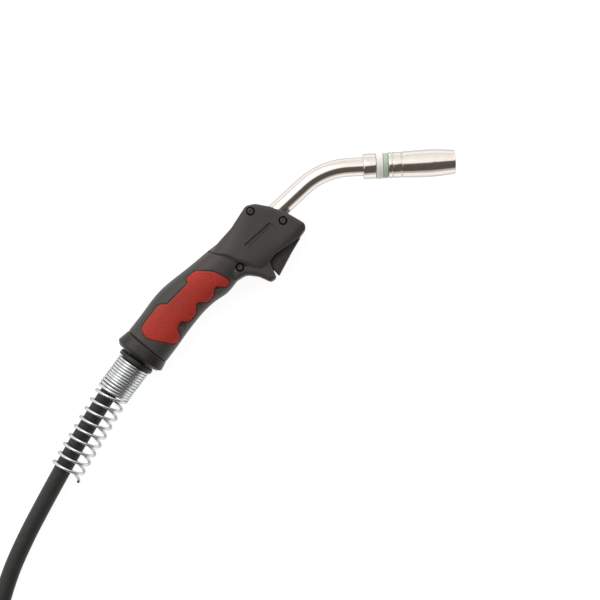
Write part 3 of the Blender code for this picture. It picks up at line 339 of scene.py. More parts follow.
def extruded(outline, low, high, rounding=0, segments=5):
    """The outline between two heights, with its rims rounded over."""
    bm = bmesh.new()
    base = bm.faces.new([bm.verts.new((*point, low)) for point in outline])
    risen = bmesh.ops.extrude_face_region(bm, geom=[base])["geom"]
    verts = [item for item in risen if isinstance(item, bmesh.types.BMVert)]
    bmesh.ops.translate(bm, verts=verts, vec=(0, 0, high - low))
    bmesh.ops.recalc_face_normals(bm, faces=bm.faces)
    if rounding:
        rims = [edge for edge in bm.edges if abs(edge.verts[0].co.z - edge.verts[1].co.z) < 1e-9]
        bmesh.ops.bevel(
            bm,
            geom=rims,
            offset=rounding,
            segments=segments,
            profile=0.5,
            material=-1,
            affect="EDGES",
        )
    return bm


def block(low, high):
    """A box between two corners in millimetres."""
    low, high = Vector(low) * MM, Vector(high) * MM
    bm = bmesh.new()
    bmesh.ops.create_cube(bm, size=1)
    bmesh.ops.scale(bm, vec=high - low, verts=bm.verts)
    bmesh.ops.translate(bm, vec=(high + low) / 2, verts=bm.verts)
    return bm


def lofted(rings):
    """A closed skin through rings of points."""
    bm = bmesh.new()
    loops = []
    for ring in rings:
        verts = [bm.verts.new(point) for point in ring]
        loops.append([bm.edges.new(pair) for pair in zip(verts, verts[1:] + verts[:1])])
    for near, far in zip(loops, loops[1:]):
        bmesh.ops.bridge_loops(bm, edges=near + far)
    bmesh.ops.contextual_create(bm, geom=loops[0])
    bmesh.ops.contextual_create(bm, geom=loops[-1])
    bmesh.ops.recalc_face_normals(bm, faces=bm.faces)
    return bm


def moved(bm, matrix):
    bmesh.ops.transform(bm, matrix=matrix, verts=bm.verts)
    return bm


def shifted(bm, x, y, z):
    """The mesh moved by a distance in millimetres."""
    return moved(bm, Matrix.Translation(Vector((x, y, z)) * MM))


def spaced_round(count, make, first=0.0):
    """That many new meshes, evenly round X."""
    step = math.tau / count
    return [moved(make(), Matrix.Rotation(step * (k + first), 4, "X")) for k in range(count)]


def stored(name, bm):
    """The mesh as Blender's own data."""
    mesh = bpy.data.meshes.new(name)
    bm.to_mesh(mesh)
    bm.free()
    return mesh


def placed(name, data):
    """A new object in the scene."""
    made = bpy.data.objects.new(name, data)
    bpy.context.scene.collection.objects.link(made)
    return made


def joined(*parts):
    """Several meshes in one, still overlapping."""
    whole = bmesh.new()
    for part in parts:
        passing = stored("passing", part)
        whole.from_mesh(passing)
        bpy.data.meshes.remove(passing)
    return whole


def held(bm):
    """The mesh in an object that lasts only while modifiers work on it."""
    return placed("held", stored("held", bm))


def modified(bm, *steps):
    """The mesh after a stack of modifiers, each a type and its settings."""
    made = held(bm)
    for kind, settings in steps:
        step = made.modifiers.new(kind, kind)
        for key, value in settings.items():
            setattr(step, key, value)
    result = bmesh.new()
    result.from_object(made, bpy.context.evaluated_depsgraph_get())
    bpy.data.meshes.remove(made.data)
    return result


def carved(bm, operation, *tools, solver="MANIFOLD"):
    """The mesh cut by, met with or added to others, one after another."""
    holders = [held(tool) for tool in tools]
    steps = [
        ("BOOLEAN", {"operation": operation, "solver": solver, "object": holder})
        for holder in holders
    ]
    result = modified(bm, *steps)
    for holder in holders:
        bpy.data.meshes.remove(holder.data)
    return result


def softened(bm, grain, passes):
    """The mesh made again as fine even faces, its edges eased as moulded ones are."""
    return modified(
        bm,
        ("REMESH", {"mode": "VOXEL", "voxel_size": grain}),
        ("SMOOTH", {"factor": 0.5, "iterations": passes}),
    )


def on_spline(p0, p1, p2, p3, t):
    """The number or point at share t of the way from p1 to p2, on a smooth line through all four."""
    turn = (p2 - p0) * t + (2 * p0 - 5 * p1 + 4 * p2 - p3) * t**2
    return 0.5 * (2 * p1 + turn + (3 * p1 - p0 - 3 * p2 + p3) * t**3)


def smooth_line(route, spacing):
    """Points at an even spacing on a smooth line through the route."""
    route = [Vector(point) for point in route]
    ends = [2 * route[0] - route[1], *route, 2 * route[-1] - route[-2]]
    dense = []
    for four in zip(ends, ends[1:], ends[2:], ends[3:]):
        dense += [on_spline(*four, step / 40) for step in range(40)]
    dense.append(route[-1])
    total = sum((b - a).length for a, b in zip(dense, dense[1:]))
    count = max(2, round(total / spacing))
    even, run, wanted = [dense[0]], 0, 1
    for a, b in zip(dense, dense[1:]):
        length = (b - a).length
        while wanted < count and run + length >= total * wanted / count:
            even.append(a.lerp(b, (total * wanted / count - run) / length))
            wanted += 1
        run += length
    even.append(dense[-1])
    return even


def round_line(name, points, radius, detail):
    """A curve with a round section through the points."""
    curve = bpy.data.curves.new(name, "CURVE")
    curve.dimensions = "3D"
    curve.bevel_depth = radius
    curve.bevel_resolution = detail
    curve.use_fill_caps = True
    line = curve.splines.new("POLY")
    line.points.add(len(points) - 1)
    for spot, point in zip(line.points, points):
        spot.co = (*point, 1)
    line.use_smooth = True
    return placed(name, curve)


def swept(points, radius, detail=5):
    """A round bar along the points, as a mesh."""
    holder = round_line("held", points, radius, detail)
    solid = holder.evaluated_get(bpy.context.evaluated_depsgraph_get())
    mesh = bpy.data.meshes.new_from_object(solid)
    bm = bmesh.new()
    bm.from_mesh(mesh)
    bpy.data.meshes.remove(mesh)
    bpy.data.curves.remove(holder.data)
    bmesh.ops.remove_doubles(bm, verts=bm.verts, dist=1e-7)
    bmesh.ops.recalc_face_normals(bm, faces=bm.faces)
    return bm


def piece(name, bm, slot, nodes=(), body="torch", angle=35):
    """A finished piece: its material, the body it rides on and the nodes that it stands for."""
    mesh = stored(name, bm)
    mesh.shade_smooth()
    mesh.set_sharp_from_angle(angle=math.radians(angle))
    mesh.materials.append(finish_of(slot))
    made = placed(name, mesh)
    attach(made, body)
    if nodes:
        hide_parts(*nodes)
    return made


# ================================================================ materials
class Channel:
    """A value in a finish, on which arithmetic adds the Math nodes."""

    def __init__(self, finish, socket):
        self.finish = finish
        self.socket = socket

    def math(self, operation, *values):
        return self.finish.node("ShaderNodeMath", {"operation": operation}, values)

    def __add__(self, other):
        return self.math("ADD", self, other)

    __radd__ = __add__

    def __rsub__(self, other):
        return self.math("SUBTRACT", other, self)

    def __mul__(self, other):
        return self.math("MULTIPLY", self, other)

    __rmul__ = __mul__

    def __truediv__(self, other):
        return self.math("DIVIDE", self, other)

    def over(self, edge, softness=0.05):
        """0 below the edge and 1 above it."""
        settings = {"interpolation_type": "SMOOTHSTEP"}
        values = {"Value": self, "From Min": edge - softness, "From Max": edge + softness}
        return self.finish.node("ShaderNodeMapRange", settings, values)


class Finish:
    """A material, with one call for any node in it."""

    def __init__(self, name, roughness, metallic=0.0, data=None):
        self.material = data or bpy.data.materials.new(name)
        self.material.use_nodes = True
        self.tree = self.material.node_tree
        if data is None:
            self.shader = self.tree.nodes["Principled BSDF"]
            self.set("Roughness", roughness)
            self.set("Metallic", metallic)
            self.set("Specular IOR Level", METAL_SHINE if metallic else MOULDING_SHINE)
            self.spot = self.node("ShaderNodeTexCoord", output="Object")

    def node(self, kind, settings=None, values=None, output=0):
        """A new node, with its settings made before its values are given or linked."""
        made = self.tree.nodes.new(kind)
        for key, value in (settings or {}).items():
            if key == "stops":
                ramp = made.color_ramp.elements
                while len(ramp) < len(value):
                    ramp.new(1)
                for stop, (place, colour) in zip(ramp, value):
                    stop.position = place
                    stop.color = (*colour, 1)
            else:
                setattr(made, key, value)
        pairs = values.items() if isinstance(values, dict) else enumerate(values or ())
        for key, value in pairs:
            self.feed(made.inputs[key], value)
        return Channel(self, made.outputs[output]) if made.outputs else made

    def feed(self, socket, value):
        if isinstance(value, Channel):
            self.tree.links.new(value.socket, socket)
        else:
            socket.default_value = value

    def set(self, name, value):
        self.feed(self.shader.inputs[name], value)

    def mapped(self, scale=(1, 1, 1), turn=0.0):
        """Places on the piece, turned about Z and stretched."""
        values = {"Vector": self.spot, "Rotation": (0, 0, turn), "Scale": scale}
        return self.node("ShaderNodeMapping", {"vector_type": "POINT"}, values)

    def noise(self, scale, detail=2.0, place=None, roughness=0.5):
        """Noise whose features are about that many to a metre."""
        values = {
            "Vector": place or self.spot,
            "Scale": scale,
            "Detail": detail,
            "Roughness": roughness,
        }
        return self.node("ShaderNodeTexNoise", {}, values)

    def mix(self, factor, first, second):
        """A colour between two."""
        made = self.tree.nodes.new("ShaderNodeMix")
        made.data_type = "RGBA"
        for index, value in ((0, factor), (6, first), (7, second)):
            if isinstance(value, tuple) and len(value) == 3:
                value = (*value, 1)
            self.feed(made.inputs[index], value)
        return Channel(self, made.outputs[2])

    def relief(self, height, depth, strength=1.0):
        """A surface that rises and falls by about that depth, in metres."""
        values = {"Height": height, "Distance": depth, "Strength": strength}
        self.set("Normal", self.node("ShaderNodeBump", {}, values))


def painted_edge_shade(finish, colour, dark):
    """The colour with painted shade, falling off where the surface turns away."""
    facing = finish.node("ShaderNodeLayerWeight", {}, {"Blend": 0.5}, "Facing")
    return finish.mix(facing.over(0.62, 0.24), colour, dark)


def shade(colour, by):
    return tuple(min(1, part * by) for part in colour)


def moulded_plastic(name, colour, roughness, grain=2600):
    """Moulded plastic: a fine spark-eroded grain, cloudy colour, and dull rubbed patches."""
    made = Finish(name, roughness)
    cloud = made.noise(35, 3)
    speck = made.noise(grain, 2)
    rub = made.noise(160, 4, roughness=0.65)
    tone = made.mix(cloud, shade(colour, 0.8), shade(colour, 1.25))
    pale = tuple(part * 0.6 + 0.05 for part in colour)
    made.set("Base Color", made.mix(rub.over(0.66, 0.08) * 0.35, tone, pale))
    made.set("Roughness", roughness - 0.08 + speck * 0.1 + rub * 0.08)
    scratch = made.noise(90, 3, made.mapped((1, 14, 1), -HANDLE_ANGLE))
    made.relief(speck + scratch.over(0.68, 0.03) * -0.8, 0.06 * MM, 0.5)
    return made.material


def hatched_rubber(name, colour, pitch):
    """Soft rubber with a crossed pattern of fine grooves, darkened along them by painted shade."""
    made = Finish(name, 0.6)
    turned_spot = made.mapped((1, 1, 1), math.radians(3))
    along = made.node("ShaderNodeSeparateXYZ", {}, [turned_spot], "X")
    across = made.node("ShaderNodeSeparateXYZ", {}, [turned_spot], "Y")
    rate = math.tau / pitch
    waves = [line.math("SINE", line * rate) for line in (along, across)]
    groove = waves[0].math("MINIMUM", waves[0], waves[1]).over(-0.72, 0.22)
    cloud = made.noise(70, 4)
    tone = made.mix(cloud, shade(colour, 0.82), shade(colour, 1.18))
    # Painted shade: the colour is darker along the grooves.
    made.set("Base Color", made.mix(groove, shade(colour, 0.7), tone))
    made.set("Roughness", 0.62 - 0.14 * groove + 0.1 * made.noise(900))
    made.relief(groove + 0.25 * made.noise(3000), 0.14 * MM, 0.7)
    return made.material


def plated_metal(name, colour, roughness, lines=(4200, 60, 60), line_depth=0.006):
    """Plated or turned metal: fine tool lines, fingerprints, a little tarnish, and painted shade
    where the surface turns away.
    """
    made = Finish(name, roughness, 1.0)
    smear = made.noise(60, 4, roughness=0.6)
    tarnish = made.noise(220, 5, roughness=0.7)
    tone = made.mix(tarnish.over(0.6, 0.15) * 0.3, colour, shade(colour, 0.72))
    # Painted shade: the base colour darkens towards the edges that turn away.
    made.set("Base Color", painted_edge_shade(made, tone, shade(colour, 0.34)))
    made.set("Roughness", roughness - 0.03 + smear * 0.1 + tarnish * 0.04)
    tool = made.noise(1, 3, made.mapped(lines))
    made.relief(tool, line_depth * MM, 0.6)
    return made.material


def ceramic_like(name, colour, roughness):
    """A pale heat-proof moulding, a little mottled and stained."""
    made = Finish(name, roughness)
    stain = made.noise(240, 5, roughness=0.65)
    made.set("Base Color", made.mix(stain.over(0.6, 0.2) * 0.5, colour, shade(colour, 0.8)))
    made.set("Roughness", roughness + 0.12 * stain)
    made.relief(made.noise(3500, 2), 0.03 * MM, 0.5)
    return made.material


def cable_sheath(name, colour):
    """The cable's rubber: matt, dusty, with a fine drag along it."""
    made = Finish(name, 0.55)
    dust = made.noise(130, 5, roughness=0.7)
    tone = made.mix(made.noise(20, 2), shade(colour, 0.85), shade(colour, 1.2))
    pale = tuple(part + 0.035 for part in colour)
    made.set("Base Color", made.mix(dust.over(0.62, 0.1) * 0.5, tone, pale))
    made.set("Roughness", 0.5 + 0.2 * dust)
    made.relief(made.noise(1700, 3), 0.05 * MM, 0.6)
    return made.material


FINISHES = {
    "black_plastic": (moulded_plastic, "plastic", 0.46),
    "grip_plastic": (moulded_plastic, "ring_plastic", 0.42, 1800),
    "red_rubber": (hatched_rubber, "rubber", 1.75 * MM),
    "nickel": (plated_metal, "nickel", 0.1),
    "white_insulator": (ceramic_like, "insulator", 0.45),
    "green_seal": (ceramic_like, "seal", 0.4),
    "copper": (plated_metal, "copper", 0.26),
    "brass": (plated_metal, "brass", 0.22),
    "zinc_steel": (plated_metal, "zinc", 0.2, (500, 500, 500), 0.02),
    "dark_steel": (plated_metal, "dark_steel", 0.38, (900, 900, 900), 0.03),
    "cable_rubber": (cable_sheath, "cable"),
    "red_wire": (moulded_plastic, "wire", 0.5),
}


def finish_of(slot):
    """The material for one of the record's slots, made once."""
    packed = bpy.data.materials.get(slot)
    if packed and "torch_finish" in packed:
        return packed
    if packed:
        packed.name = slot + "_packed"
    maker, colour, *rest = FINISHES[slot]
    made = maker(slot, tuple(getattr(bpy.context.scene.torch_colours, colour)), *rest)
    made["torch_finish"] = True
    return made


# ================================================================ settings
COLOURS = {
    "plastic": ((0.05, 0.0455, 0.0433), "Moulded black plastic of the handle"),
    "ring_plastic": ((0.02, 0.0193, 0.0193), "Locking ring and spring seat"),
    "rubber": ((0.5, 0.034, 0.02), "Rubber panels in the grip"),
    "nickel": ((0.86, 0.82, 0.77), "Nickel plate of the neck and nozzle"),
    "insulator": ((0.93, 0.93, 0.88), "Ring between the collar and the nozzle"),
    "seal": ((0.49, 0.63, 0.51), "Seal behind the nozzle"),
    "copper": ((0.78, 0.4, 0.24), "Contact tip"),
    "brass": ((0.78, 0.6, 0.3), "Turned brass parts"),
    "zinc": ((0.7, 0.735, 0.76), "Strain relief spring"),
    "dark_steel": ((0.09, 0.086, 0.083), "Blackened screws"),
    "cable": ((0.03, 0.03, 0.03), "Cable sheath"),
    "wire": ((0.45, 0.03, 0.02), "Switch wires"),
}


def colour_property(name):
    default, words = COLOURS[name]
    return bpy.props.FloatVectorProperty(
        name=name.replace("_", " ").capitalize(),
        description=words,
        default=default,
        subtype="COLOR",
        size=3,
        min=0,
        max=1,
    )


def length_property(name, words, default):
    return bpy.props.FloatProperty(
        name=name, description=words, default=default, unit="LENGTH", min=0, precision=5
    )


class TORCH_PG_colours(bpy.types.PropertyGroup):
    """Colours of the finishes."""

    __annotations__ = {name: colour_property(name) for name in COLOURS}


class TORCH_PG_sizes(bpy.types.PropertyGroup):
    """Sizes of the pieces that are drawn finer than the frame."""

    cable_diameter: length_property("Cable diameter", "Across the cable's sheath", 0.015)
    cable_length: length_property("Cable length", "From the handle to the connector", 3.0)
    wire_radius: length_property("Spring wire", "Radius of the spring's wire", 0.00126)
    shell_grain: length_property("Shell detail", "Face size on the handle's shells", 0.00046)
    panel_grain: length_property("Panel detail", "Face size on the rubber panels", 0.0004)
    panel_proud: length_property("Panel height", "How far the panels stand out", 0.00045)


# ================================================================ pieces
def handle_section(u, top, bottom, half, lean=0.0, power=SECTION_POWER, inset=0.0, sides=56):
    """One ring of the handle, given in millimetres apart from the inset and half."""
    middle, height = (top + bottom) / 2 * MM, (top - bottom) / 2 * MM - inset
    ring = []
    for k in range(sides):
        angle = math.tau * k / sides
        across = math.copysign(abs(math.cos(angle)) ** (2 / power), math.cos(angle)) * height
        up = math.copysign(abs(math.sin(angle)) ** (2 / power), math.sin(angle))
        point = (
            u * MM - across * math.sin(math.radians(lean)),
            middle + across * math.cos(math.radians(lean)),
            (half - inset) * up,
        )
        ring.append(Vector(point))
    return ring


def eased(stations, steps=5):
    """More stations between those given, on a smooth line through each column."""
    ends = [stations[0], *stations, stations[-1]]
    fine = []
    for rows in zip(ends, ends[1:], ends[2:], ends[3:]):
        for step in range(steps):
            fine.append([on_spline(*column, step / steps) for column in zip(*rows)])
    fine.append(list(stations[-1]))
    return fine


def grip_skin(inset=0.0, run_on=0.0):
    """The grip's skin moved in by a depth, and run past both of its ends."""
    rings = [
        handle_section(u, top, bottom, GRIP_HALF, lean, inset=inset)
        for u, top, bottom, lean in eased(GRIP_STATIONS)
    ]
    if run_on:
        rings.insert(0, [point + X_AXIS * run_on for point in rings[0]])
        rings.append([point - X_AXIS * run_on for point in rings[-1]])
    return lofted(rings)


def grown(outline, distance):
    """The outline moved outwards."""
    turned_by = sum(a.x * b.y - b.x * a.y for a, b in zip(outline, outline[1:] + outline[:1]))
    wider = []
    for before, point, after in zip(outline[-1:] + outline[:-1], outline, outline[1:] + outline[:1]):
        along = (point - before).normalized() + (after - point).normalized()
        out = Vector((along.y, -along.x)).normalized()
        wider.append(point + out * math.copysign(distance, turned_by))
    return wider


def both_sides(make):
    """A cutter for the upper cheek and its mirror image for the lower one."""
    lower = make()
    bmesh.ops.scale(lower, vec=(1, 1, -1), verts=lower.verts)
    bmesh.ops.reverse_faces(lower, faces=lower.faces)
    return [make(), lower]


def inlay_slab(edge):
    """The inlay's outline from near the seam to above the grip."""
    outline = grown(rounded(INLAY_OUTLINE, 8), edge)
    return extruded(outline, 8 * MM - edge, 2 * HEAD_HALF)


def inlay_recess():
    return carved(inlay_slab(GAP), "DIFFERENCE", grip_skin(1.6 * MM, 5 * MM))


def groove():
    """The long mould line beside the label's place."""
    line = [(-14.3, -2.6, 0.4), (-42.9, -1.1, 0.4), (-42.9, -2.6, 0.4), (-14.3, -4.1, 0.4)]
    return extruded(rounded(line), HEAD_HALF - 2 * MM, HEAD_HALF + 3 * MM)


def label_bed():
    corners = [(-13.3, -4.9, 0.8), (-13.8, -11.4, 0.8), (-42.4, -10.9, 0.8), (-41.9, -4.4, 0.8)]
    return extruded(rounded(corners), HEAD_HALF - 0.7 * MM, HEAD_HALF + 3 * MM)


def cheek_ramp():
    """Above the slope that the cheek takes along the trigger's side."""
    ramp = moved(block((-36, -25, 0), (20, 0, 15)), Matrix.Rotation(math.radians(27), 4, "X"))
    return shifted(ramp, 0, -22.6, HEAD_HALF / MM)


def step_groove():
    """The gap under the head's rear edge, cut into the grip and fading towards the horn."""
    back = [(-69.3, 17.5, 0), (-62.2, 3.6, 20), (-57.4, -8.9, 20), (-54.2, -15.2, 0)]
    front = [(-53.4, -15.2, 0), (-56.6, -8.6, 20), (-61.2, 3.9, 20), (-68.1, 17.5, 0)]
    band = extruded(rounded(back + front), 2 * MM, 2 * HEAD_HALF)
    return carved(band, "DIFFERENCE", grip_skin(0.9 * MM, 5 * MM))


def upright(bm, u, v):
    """The mesh, made along X, stood up on the cheek."""
    return shifted(moved(bm, FLAT), u, v, 0)


def counterbore(u, v, sunk):
    return upright(rod(3.8, HEAD_HALF / MM - sunk - SCREW_HEAD - 0.3, 30, 40), u, v)


def finger_dish(u, v):
    ball = bmesh.new()
    bmesh.ops.create_uvsphere(ball, u_segments=40, v_segments=24, radius=6.5 * MM)
    height = GRIP_HALF * (1 - (abs(v + 0.5) / 19) ** SECTION_POWER) ** (1 / SECTION_POWER)
    bmesh.ops.translate(ball, vec=(u * MM, v * MM, height + 4.3 * MM), verts=ball.verts)
    return ball


def shell_form(grain):
    """The outside of both shells in one, before it is parted along the seam."""
    head = extruded(rounded(HEAD_OUTLINE, 8), -HEAD_HALF, HEAD_HALF, 3.0 * MM, 6)
    cheek = lofted(
        [
            handle_section(u, top, bottom, HEAD_HALF, power=power, sides=72)
            for u, top, bottom, power in eased(HEAD_STATIONS)
        ]
    )
    head = carved(head, "INTERSECT", cheek, solver="EXACT")
    horn = extruded(rounded(HORN_OUTLINE, 8), -16.4 * MM, 16.4 * MM, 4 * MM, 6)
    form = softened(joined(grip_skin(), head, horn), grain, 2)
    cutters = [block(*TRIGGER_SLOT), *both_sides(inlay_recess), *both_sides(cheek_ramp)]
    for u, v in FINGER_DISHES:
        cutters += both_sides(lambda u=u, v=v: finger_dish(u, v))
    form = softened(carved(form, "DIFFERENCE", *cutters), grain, 3)
    sharp = [counterbore(*screw) for screw in SCREWS]
    for make in (groove, label_bed, step_groove):
        sharp += both_sides(make)
    return carved(form, "DIFFERENCE", *sharp)


def hollows():
    """What is cut from inside the shells, as in the frame."""
    wall = 3.3 * MM
    stations = []
    for u, top, bottom, lean in GRIP_STATIONS:
        near_boss = u > SCREWS[2][0] - 10.8
        stations.append((u, top, SCREWS[2][1] + 2.4 if near_boss else bottom, lean))
    rings = [
        handle_section(u, top, bottom, GRIP_HALF, lean, inset=wall, sides=24)
        for u, top, bottom, lean in stations
    ]
    rings.append([point - X_AXIS * wall for point in rings[-1]])
    head = [
        (-52, 10.8, 0),
        (-28, 13.4, 0),
        (-25.5, 11.6, 0),
        (-10.5, 11.6, 0),
        (-10.5, -19.7, 0),
        (-46.5, -19.7, 0),
        (-51.5, -11.5, 0),
        (-53, -6.4, 0),
    ]
    plunger = shifted(moved(rod(1.8, -25, -16.7), Matrix.Rotation(math.pi / 2, 4, "Z")), -33, 0, 0)
    pin = upright(rod(1.8, -14.3, 14.3), *(PIVOT / MM).xy)
    neck = moved(rod(8.3, -12, 20, 48), HANDLE.inverted() @ NECK_FRAME)
    tools = [lofted(rings), extruded(rounded(head), -14.5 * MM, 14.5 * MM), plunger, pin, neck]
    for u, v, sunk in SCREWS:
        top = HEAD_HALF / MM - sunk - SCREW_HEAD
        tools.append(upright(rod(1.6, top - 26.6, top + 1), u, v))
    return tools


def build_shells():
    sizes = bpy.context.scene.torch_sizes
    form = carved(shell_form(sizes.shell_grain), "DIFFERENCE", *hollows())
    for name, low, high in (("upper", 0.15, 60), ("lower", -60, -0.15)):
        half = carved(form.copy(), "INTERSECT", block((-300, -300, low), (300, 300, high)))
        node = f"handle_{name}_shell"
        piece(f"shell_{name}", moved(half, HANDLE), "black_plastic", [node], angle=50)
    form.free()


def build_panels():
    sizes = bpy.context.scene.torch_sizes
    for name, panel in zip(("upper", "lower"), both_sides(lambda: inlay_slab(0.0))):
        panel = carved(panel, "INTERSECT", grip_skin(-sizes.panel_proud, 5 * MM))
        panel = carved(panel, "DIFFERENCE", grip_skin(1.3 * MM, 6 * MM))
        panel = softened(panel, sizes.panel_grain, 3)
        node = f"grip_inlay_{name}"
        piece(f"panel_{name}", moved(panel, HANDLE), "red_rubber", [node], angle=60)


def build_rear():
    """The locking ring behind the grip, and the seat that holds the spring."""
    rings = []
    for share, grow in RING_SHAPE:
        top = 17.9 + 0.4 * share
        bottom = -23.4 - 2.6 * share
        half = GRIP_HALF + 0.5 * MM * share
        u = -162.3 - RING_LENGTH / MM * share
        lean = 5 + 4 * share
        rings.append(handle_section(u, top, bottom, half, lean, inset=-grow * MM, sides=72))
    ring = moved(lofted(rings), HANDLE)
    bore = moved(rod(10, -30, 40, 64), SEAT_FRAME)
    ring = carved(softened(ring, 0.45 * MM, 2), "DIFFERENCE", bore)
    piece("rear_locking_ring", ring, "grip_plastic", ["rear_ring"], angle=50)
    seat = [
        (0, 8.1, 0.3),
        (0, 15.4, 0.2),
        (0.9, 16.1, 0.6),
        (SEAT_RIM, 16.1, 0.5),
        (SEAT_RIM, 11.45, 0.3),
        (10, 11.45, 0.5),
        (10, 8.1, 0.3),
    ]
    piece("spring_cup", moved(turned(seat, 80), SEAT_FRAME), "grip_plastic", ["spring_seat"])


def six_lobes(low, high):
    """The cutter for a screw's drive, in millimetres."""
    lobes = []
    for k in range(24):
        angle = math.tau * k / 24
        radius = 1.8 + 0.36 * math.cos(6 * angle)
        lobes.append(Vector((radius * math.cos(angle), radius * math.sin(angle))) * MM)
    return extruded(lobes, low * MM, high * MM)


def build_screws():
    """Blackened screws with a six-lobed recess."""
    for number, (u, v, sunk) in enumerate(SCREWS, 1):
        top = HEAD_HALF / MM - sunk
        under = top - SCREW_HEAD
        profile = [
            (under - 26, 0, 0),
            (under - 26, 1.3, 0.3),
            (under, 1.3, 0.1),
            (under, 3.55, 0.3),
            (top - 0.9, 3.55, 0.8),
            (top, 2.2, 1.5),
            (top, 0, 0),
        ]
        screw = carved(moved(turned(profile, 48), FLAT), "DIFFERENCE", six_lobes(top - 2, top + 2))
        screw = moved(shifted(screw, u, v, 0), HANDLE)
        piece(f"screw_{number}", screw, "dark_steel", [f"housing_screw_{number}"])


def neck_line(start, end_x, steps=36):
    """Straight out of the handle, round the bend, and straight along the nozzle's axis."""
    bend = HANDLE_ANGLE + NECK_TILT
    points = [Vector((x, 0, 0)) for x in (start, start / 2, NECK_STRAIGHT / 2)]
    for step in range(steps + 1):
        angle = bend * step / steps
        over = NECK_BEND_RADIUS * math.sin(angle)
        down = NECK_BEND_RADIUS * (1 - math.cos(angle))
        points.append(Vector((NECK_STRAIGHT + over, -down, 0)))
    line = [NECK_FRAME @ point for point in points]
    line.append(Vector((end_x, line[-1].y, HEAD_HALF)))
    return line


def build_neck():
    tube = swept(neck_line(NECK_ROOT, NECK_END), NECK_RADIUS, 14)
    bore = swept(neck_line(NECK_ROOT - 2 * MM, NECK_END + 3 * MM), NECK_BORE, 6)
    piece("swan_neck", carved(tube, "DIFFERENCE", bore), "nickel", ["swan_neck_tube"])


def build_nozzle():
    """Collar, insulating ring, seal, gas nozzle, tip, holder and diffuser, on one axis."""
    start = NOZZLE_LOW.x / MM
    mouth = NOZZLE_HIGH.x / MM
    ring_start, ring_end = start - 10.3, start - 4.6
    sleeve_end = ring_end + 12
    tip_end = mouth - 6
    tip_start = tip_end - 26
    nozzle = [
        (start, 9.3, 0.2),
        (start, 11.1, 0.5),
        (start + 2.8, 11.1, 0.3),
        (start + 3.1, 10.5, 0.1),
        (start + 3.9, 10.5, 0.1),
        (start + 4.2, 11.1, 0.3),
        (start + 10.5, 11.1, 0.3),
        (start + 10.8, 10.5, 0.1),
        (start + 11.6, 10.5, 0.1),
        (start + 11.9, 11.15, 0.3),
        (start + 13.5, 11.15, 3),
        (start + 25, 11.6, 20),
        (start + 37, 11.85, 20),
        (start + 45, 11.35, 20),
        (mouth, 10.3, 0.5),
        (mouth, 8.0, 0.5),
        (mouth - 6, 8.0, 2),
        (start + 34, 9.3, 2),
    ]
    seal = pipe(start - 4.3, start - 0.3, 9.3, 10.9, 0.2, 0.7)
    insulator = [
        (ring_start, 5.9, 0),
        (ring_start, 11.2, 0.6),
        (ring_end, 11.2, 0.6),
        (ring_end, 8.91, 0.2),
        (sleeve_end, 8.91, 0.4),
        (sleeve_end, 5.9, 0),
    ]
    collar = [
        (85, 8.3, 0),
        (85, 10.8, 0.9),
        (ring_start - 0.3, 10.8, 0.5),
        (ring_start - 0.3, 8.3, 0),
    ]
    tip = [
        (tip_start - 8, 0.7, 0),
        (tip_start - 8, 2.8, 0.4),
        (tip_start, 2.8, 0.2),
        (tip_start, 4, 0.4),
        (tip_end - 5, 4, 1.5),
        (tip_end - 0.6, 2.9, 0.4),
        (tip_end, 2.6, 0.4),
        (tip_end, 0.7, 0.2),
    ]
    holder = [
        (96.3, 1.6, 0),
        (96.3, 5.6, 0.4),
        (sleeve_end, 5.6, 0.3),
        (sleeve_end, 4.6, 0.2),
        (tip_start - 0.3, 4.6, 0.4),
        (tip_start - 0.3, 3.1, 0.2),
        (tip_start - 8.3, 3.1, 0),
        (tip_start - 8.3, 1.6, 0),
    ]
    parts = [
        ("nozzle_shell_part", nozzle, 112, "nickel", "gas_nozzle", "nozzle_shell"),
        ("nozzle_seal", seal, 112, "green_seal", "insulator_seal", "torch"),
        ("insulating_ring", insulator, 112, "white_insulator", "nozzle_insulator", "torch"),
        ("collar", collar, 112, "nickel", "neck_collar", "torch"),
        ("contact_tip_part", tip, 48, "copper", "contact_tip", "torch"),
        ("tip_holder_part", holder, 48, "brass", "tip_holder", "torch"),
    ]
    for name, profile, steps, slot, node, body in parts:
        piece(name, moved(turned(profile, steps), NOZZLE_LINE), slot, [node], body, 30)
    build_diffuser(sleeve_end + 0.3)


def build_diffuser(start):
    """The ring that lets the gas out through six holes."""
    profile = pipe(start, start + 9.4, 4.9, 7.2, 0, 0.5)
    side = Matrix.Rotation(math.pi / 2, 4, "Y")
    holes = spaced_round(6, lambda: shifted(moved(rod(1.1, 3.6, 8.2, 24), side), start + 4.7, 0, 0))
    ring = moved(carved(turned(profile, 64), "DIFFERENCE", *holes), NOZZLE_LINE)
    piece("diffuser_ring", ring, "white_insulator", ["gas_diffuser"])


def build_trigger():
    """The trigger, with a ridged front edge that the finger pulls."""
    ridged = []
    for k in range(2 * TRIGGER_RIDGES + 1):
        t = k / (2 * TRIGGER_RIDGES)
        if t < 0.4:
            point = TRIGGER_FRONT.lerp(TRIGGER_BEND, t / 0.4)
        else:
            point = TRIGGER_BEND.lerp(TRIGGER_END, (t - 0.4) / 0.6)
        point = point + TRIGGER_OUT * (0.55 if k % 2 else -0.35)
        ridged.append((*point, 0.3))
    outline = rounded(ridged + TRIGGER_BACK, 2)
    body = extruded(outline, -TRIGGER_HALF, TRIGGER_HALF, 0.3 * MM, 2)
    bore = upright(rod(1.8, -15, 15), *(PIVOT / MM).xy)
    pocket = moved(block((-9, -3.5, -2.7), (3.5, 10, 2.7)), Matrix.Translation(PIVOT))
    body = moved(carved(body, "DIFFERENCE", bore, pocket, solver="EXACT"), HANDLE)
    piece("trigger_lever_part", body, "black_plastic", ["trigger"], "trigger_lever", 45)


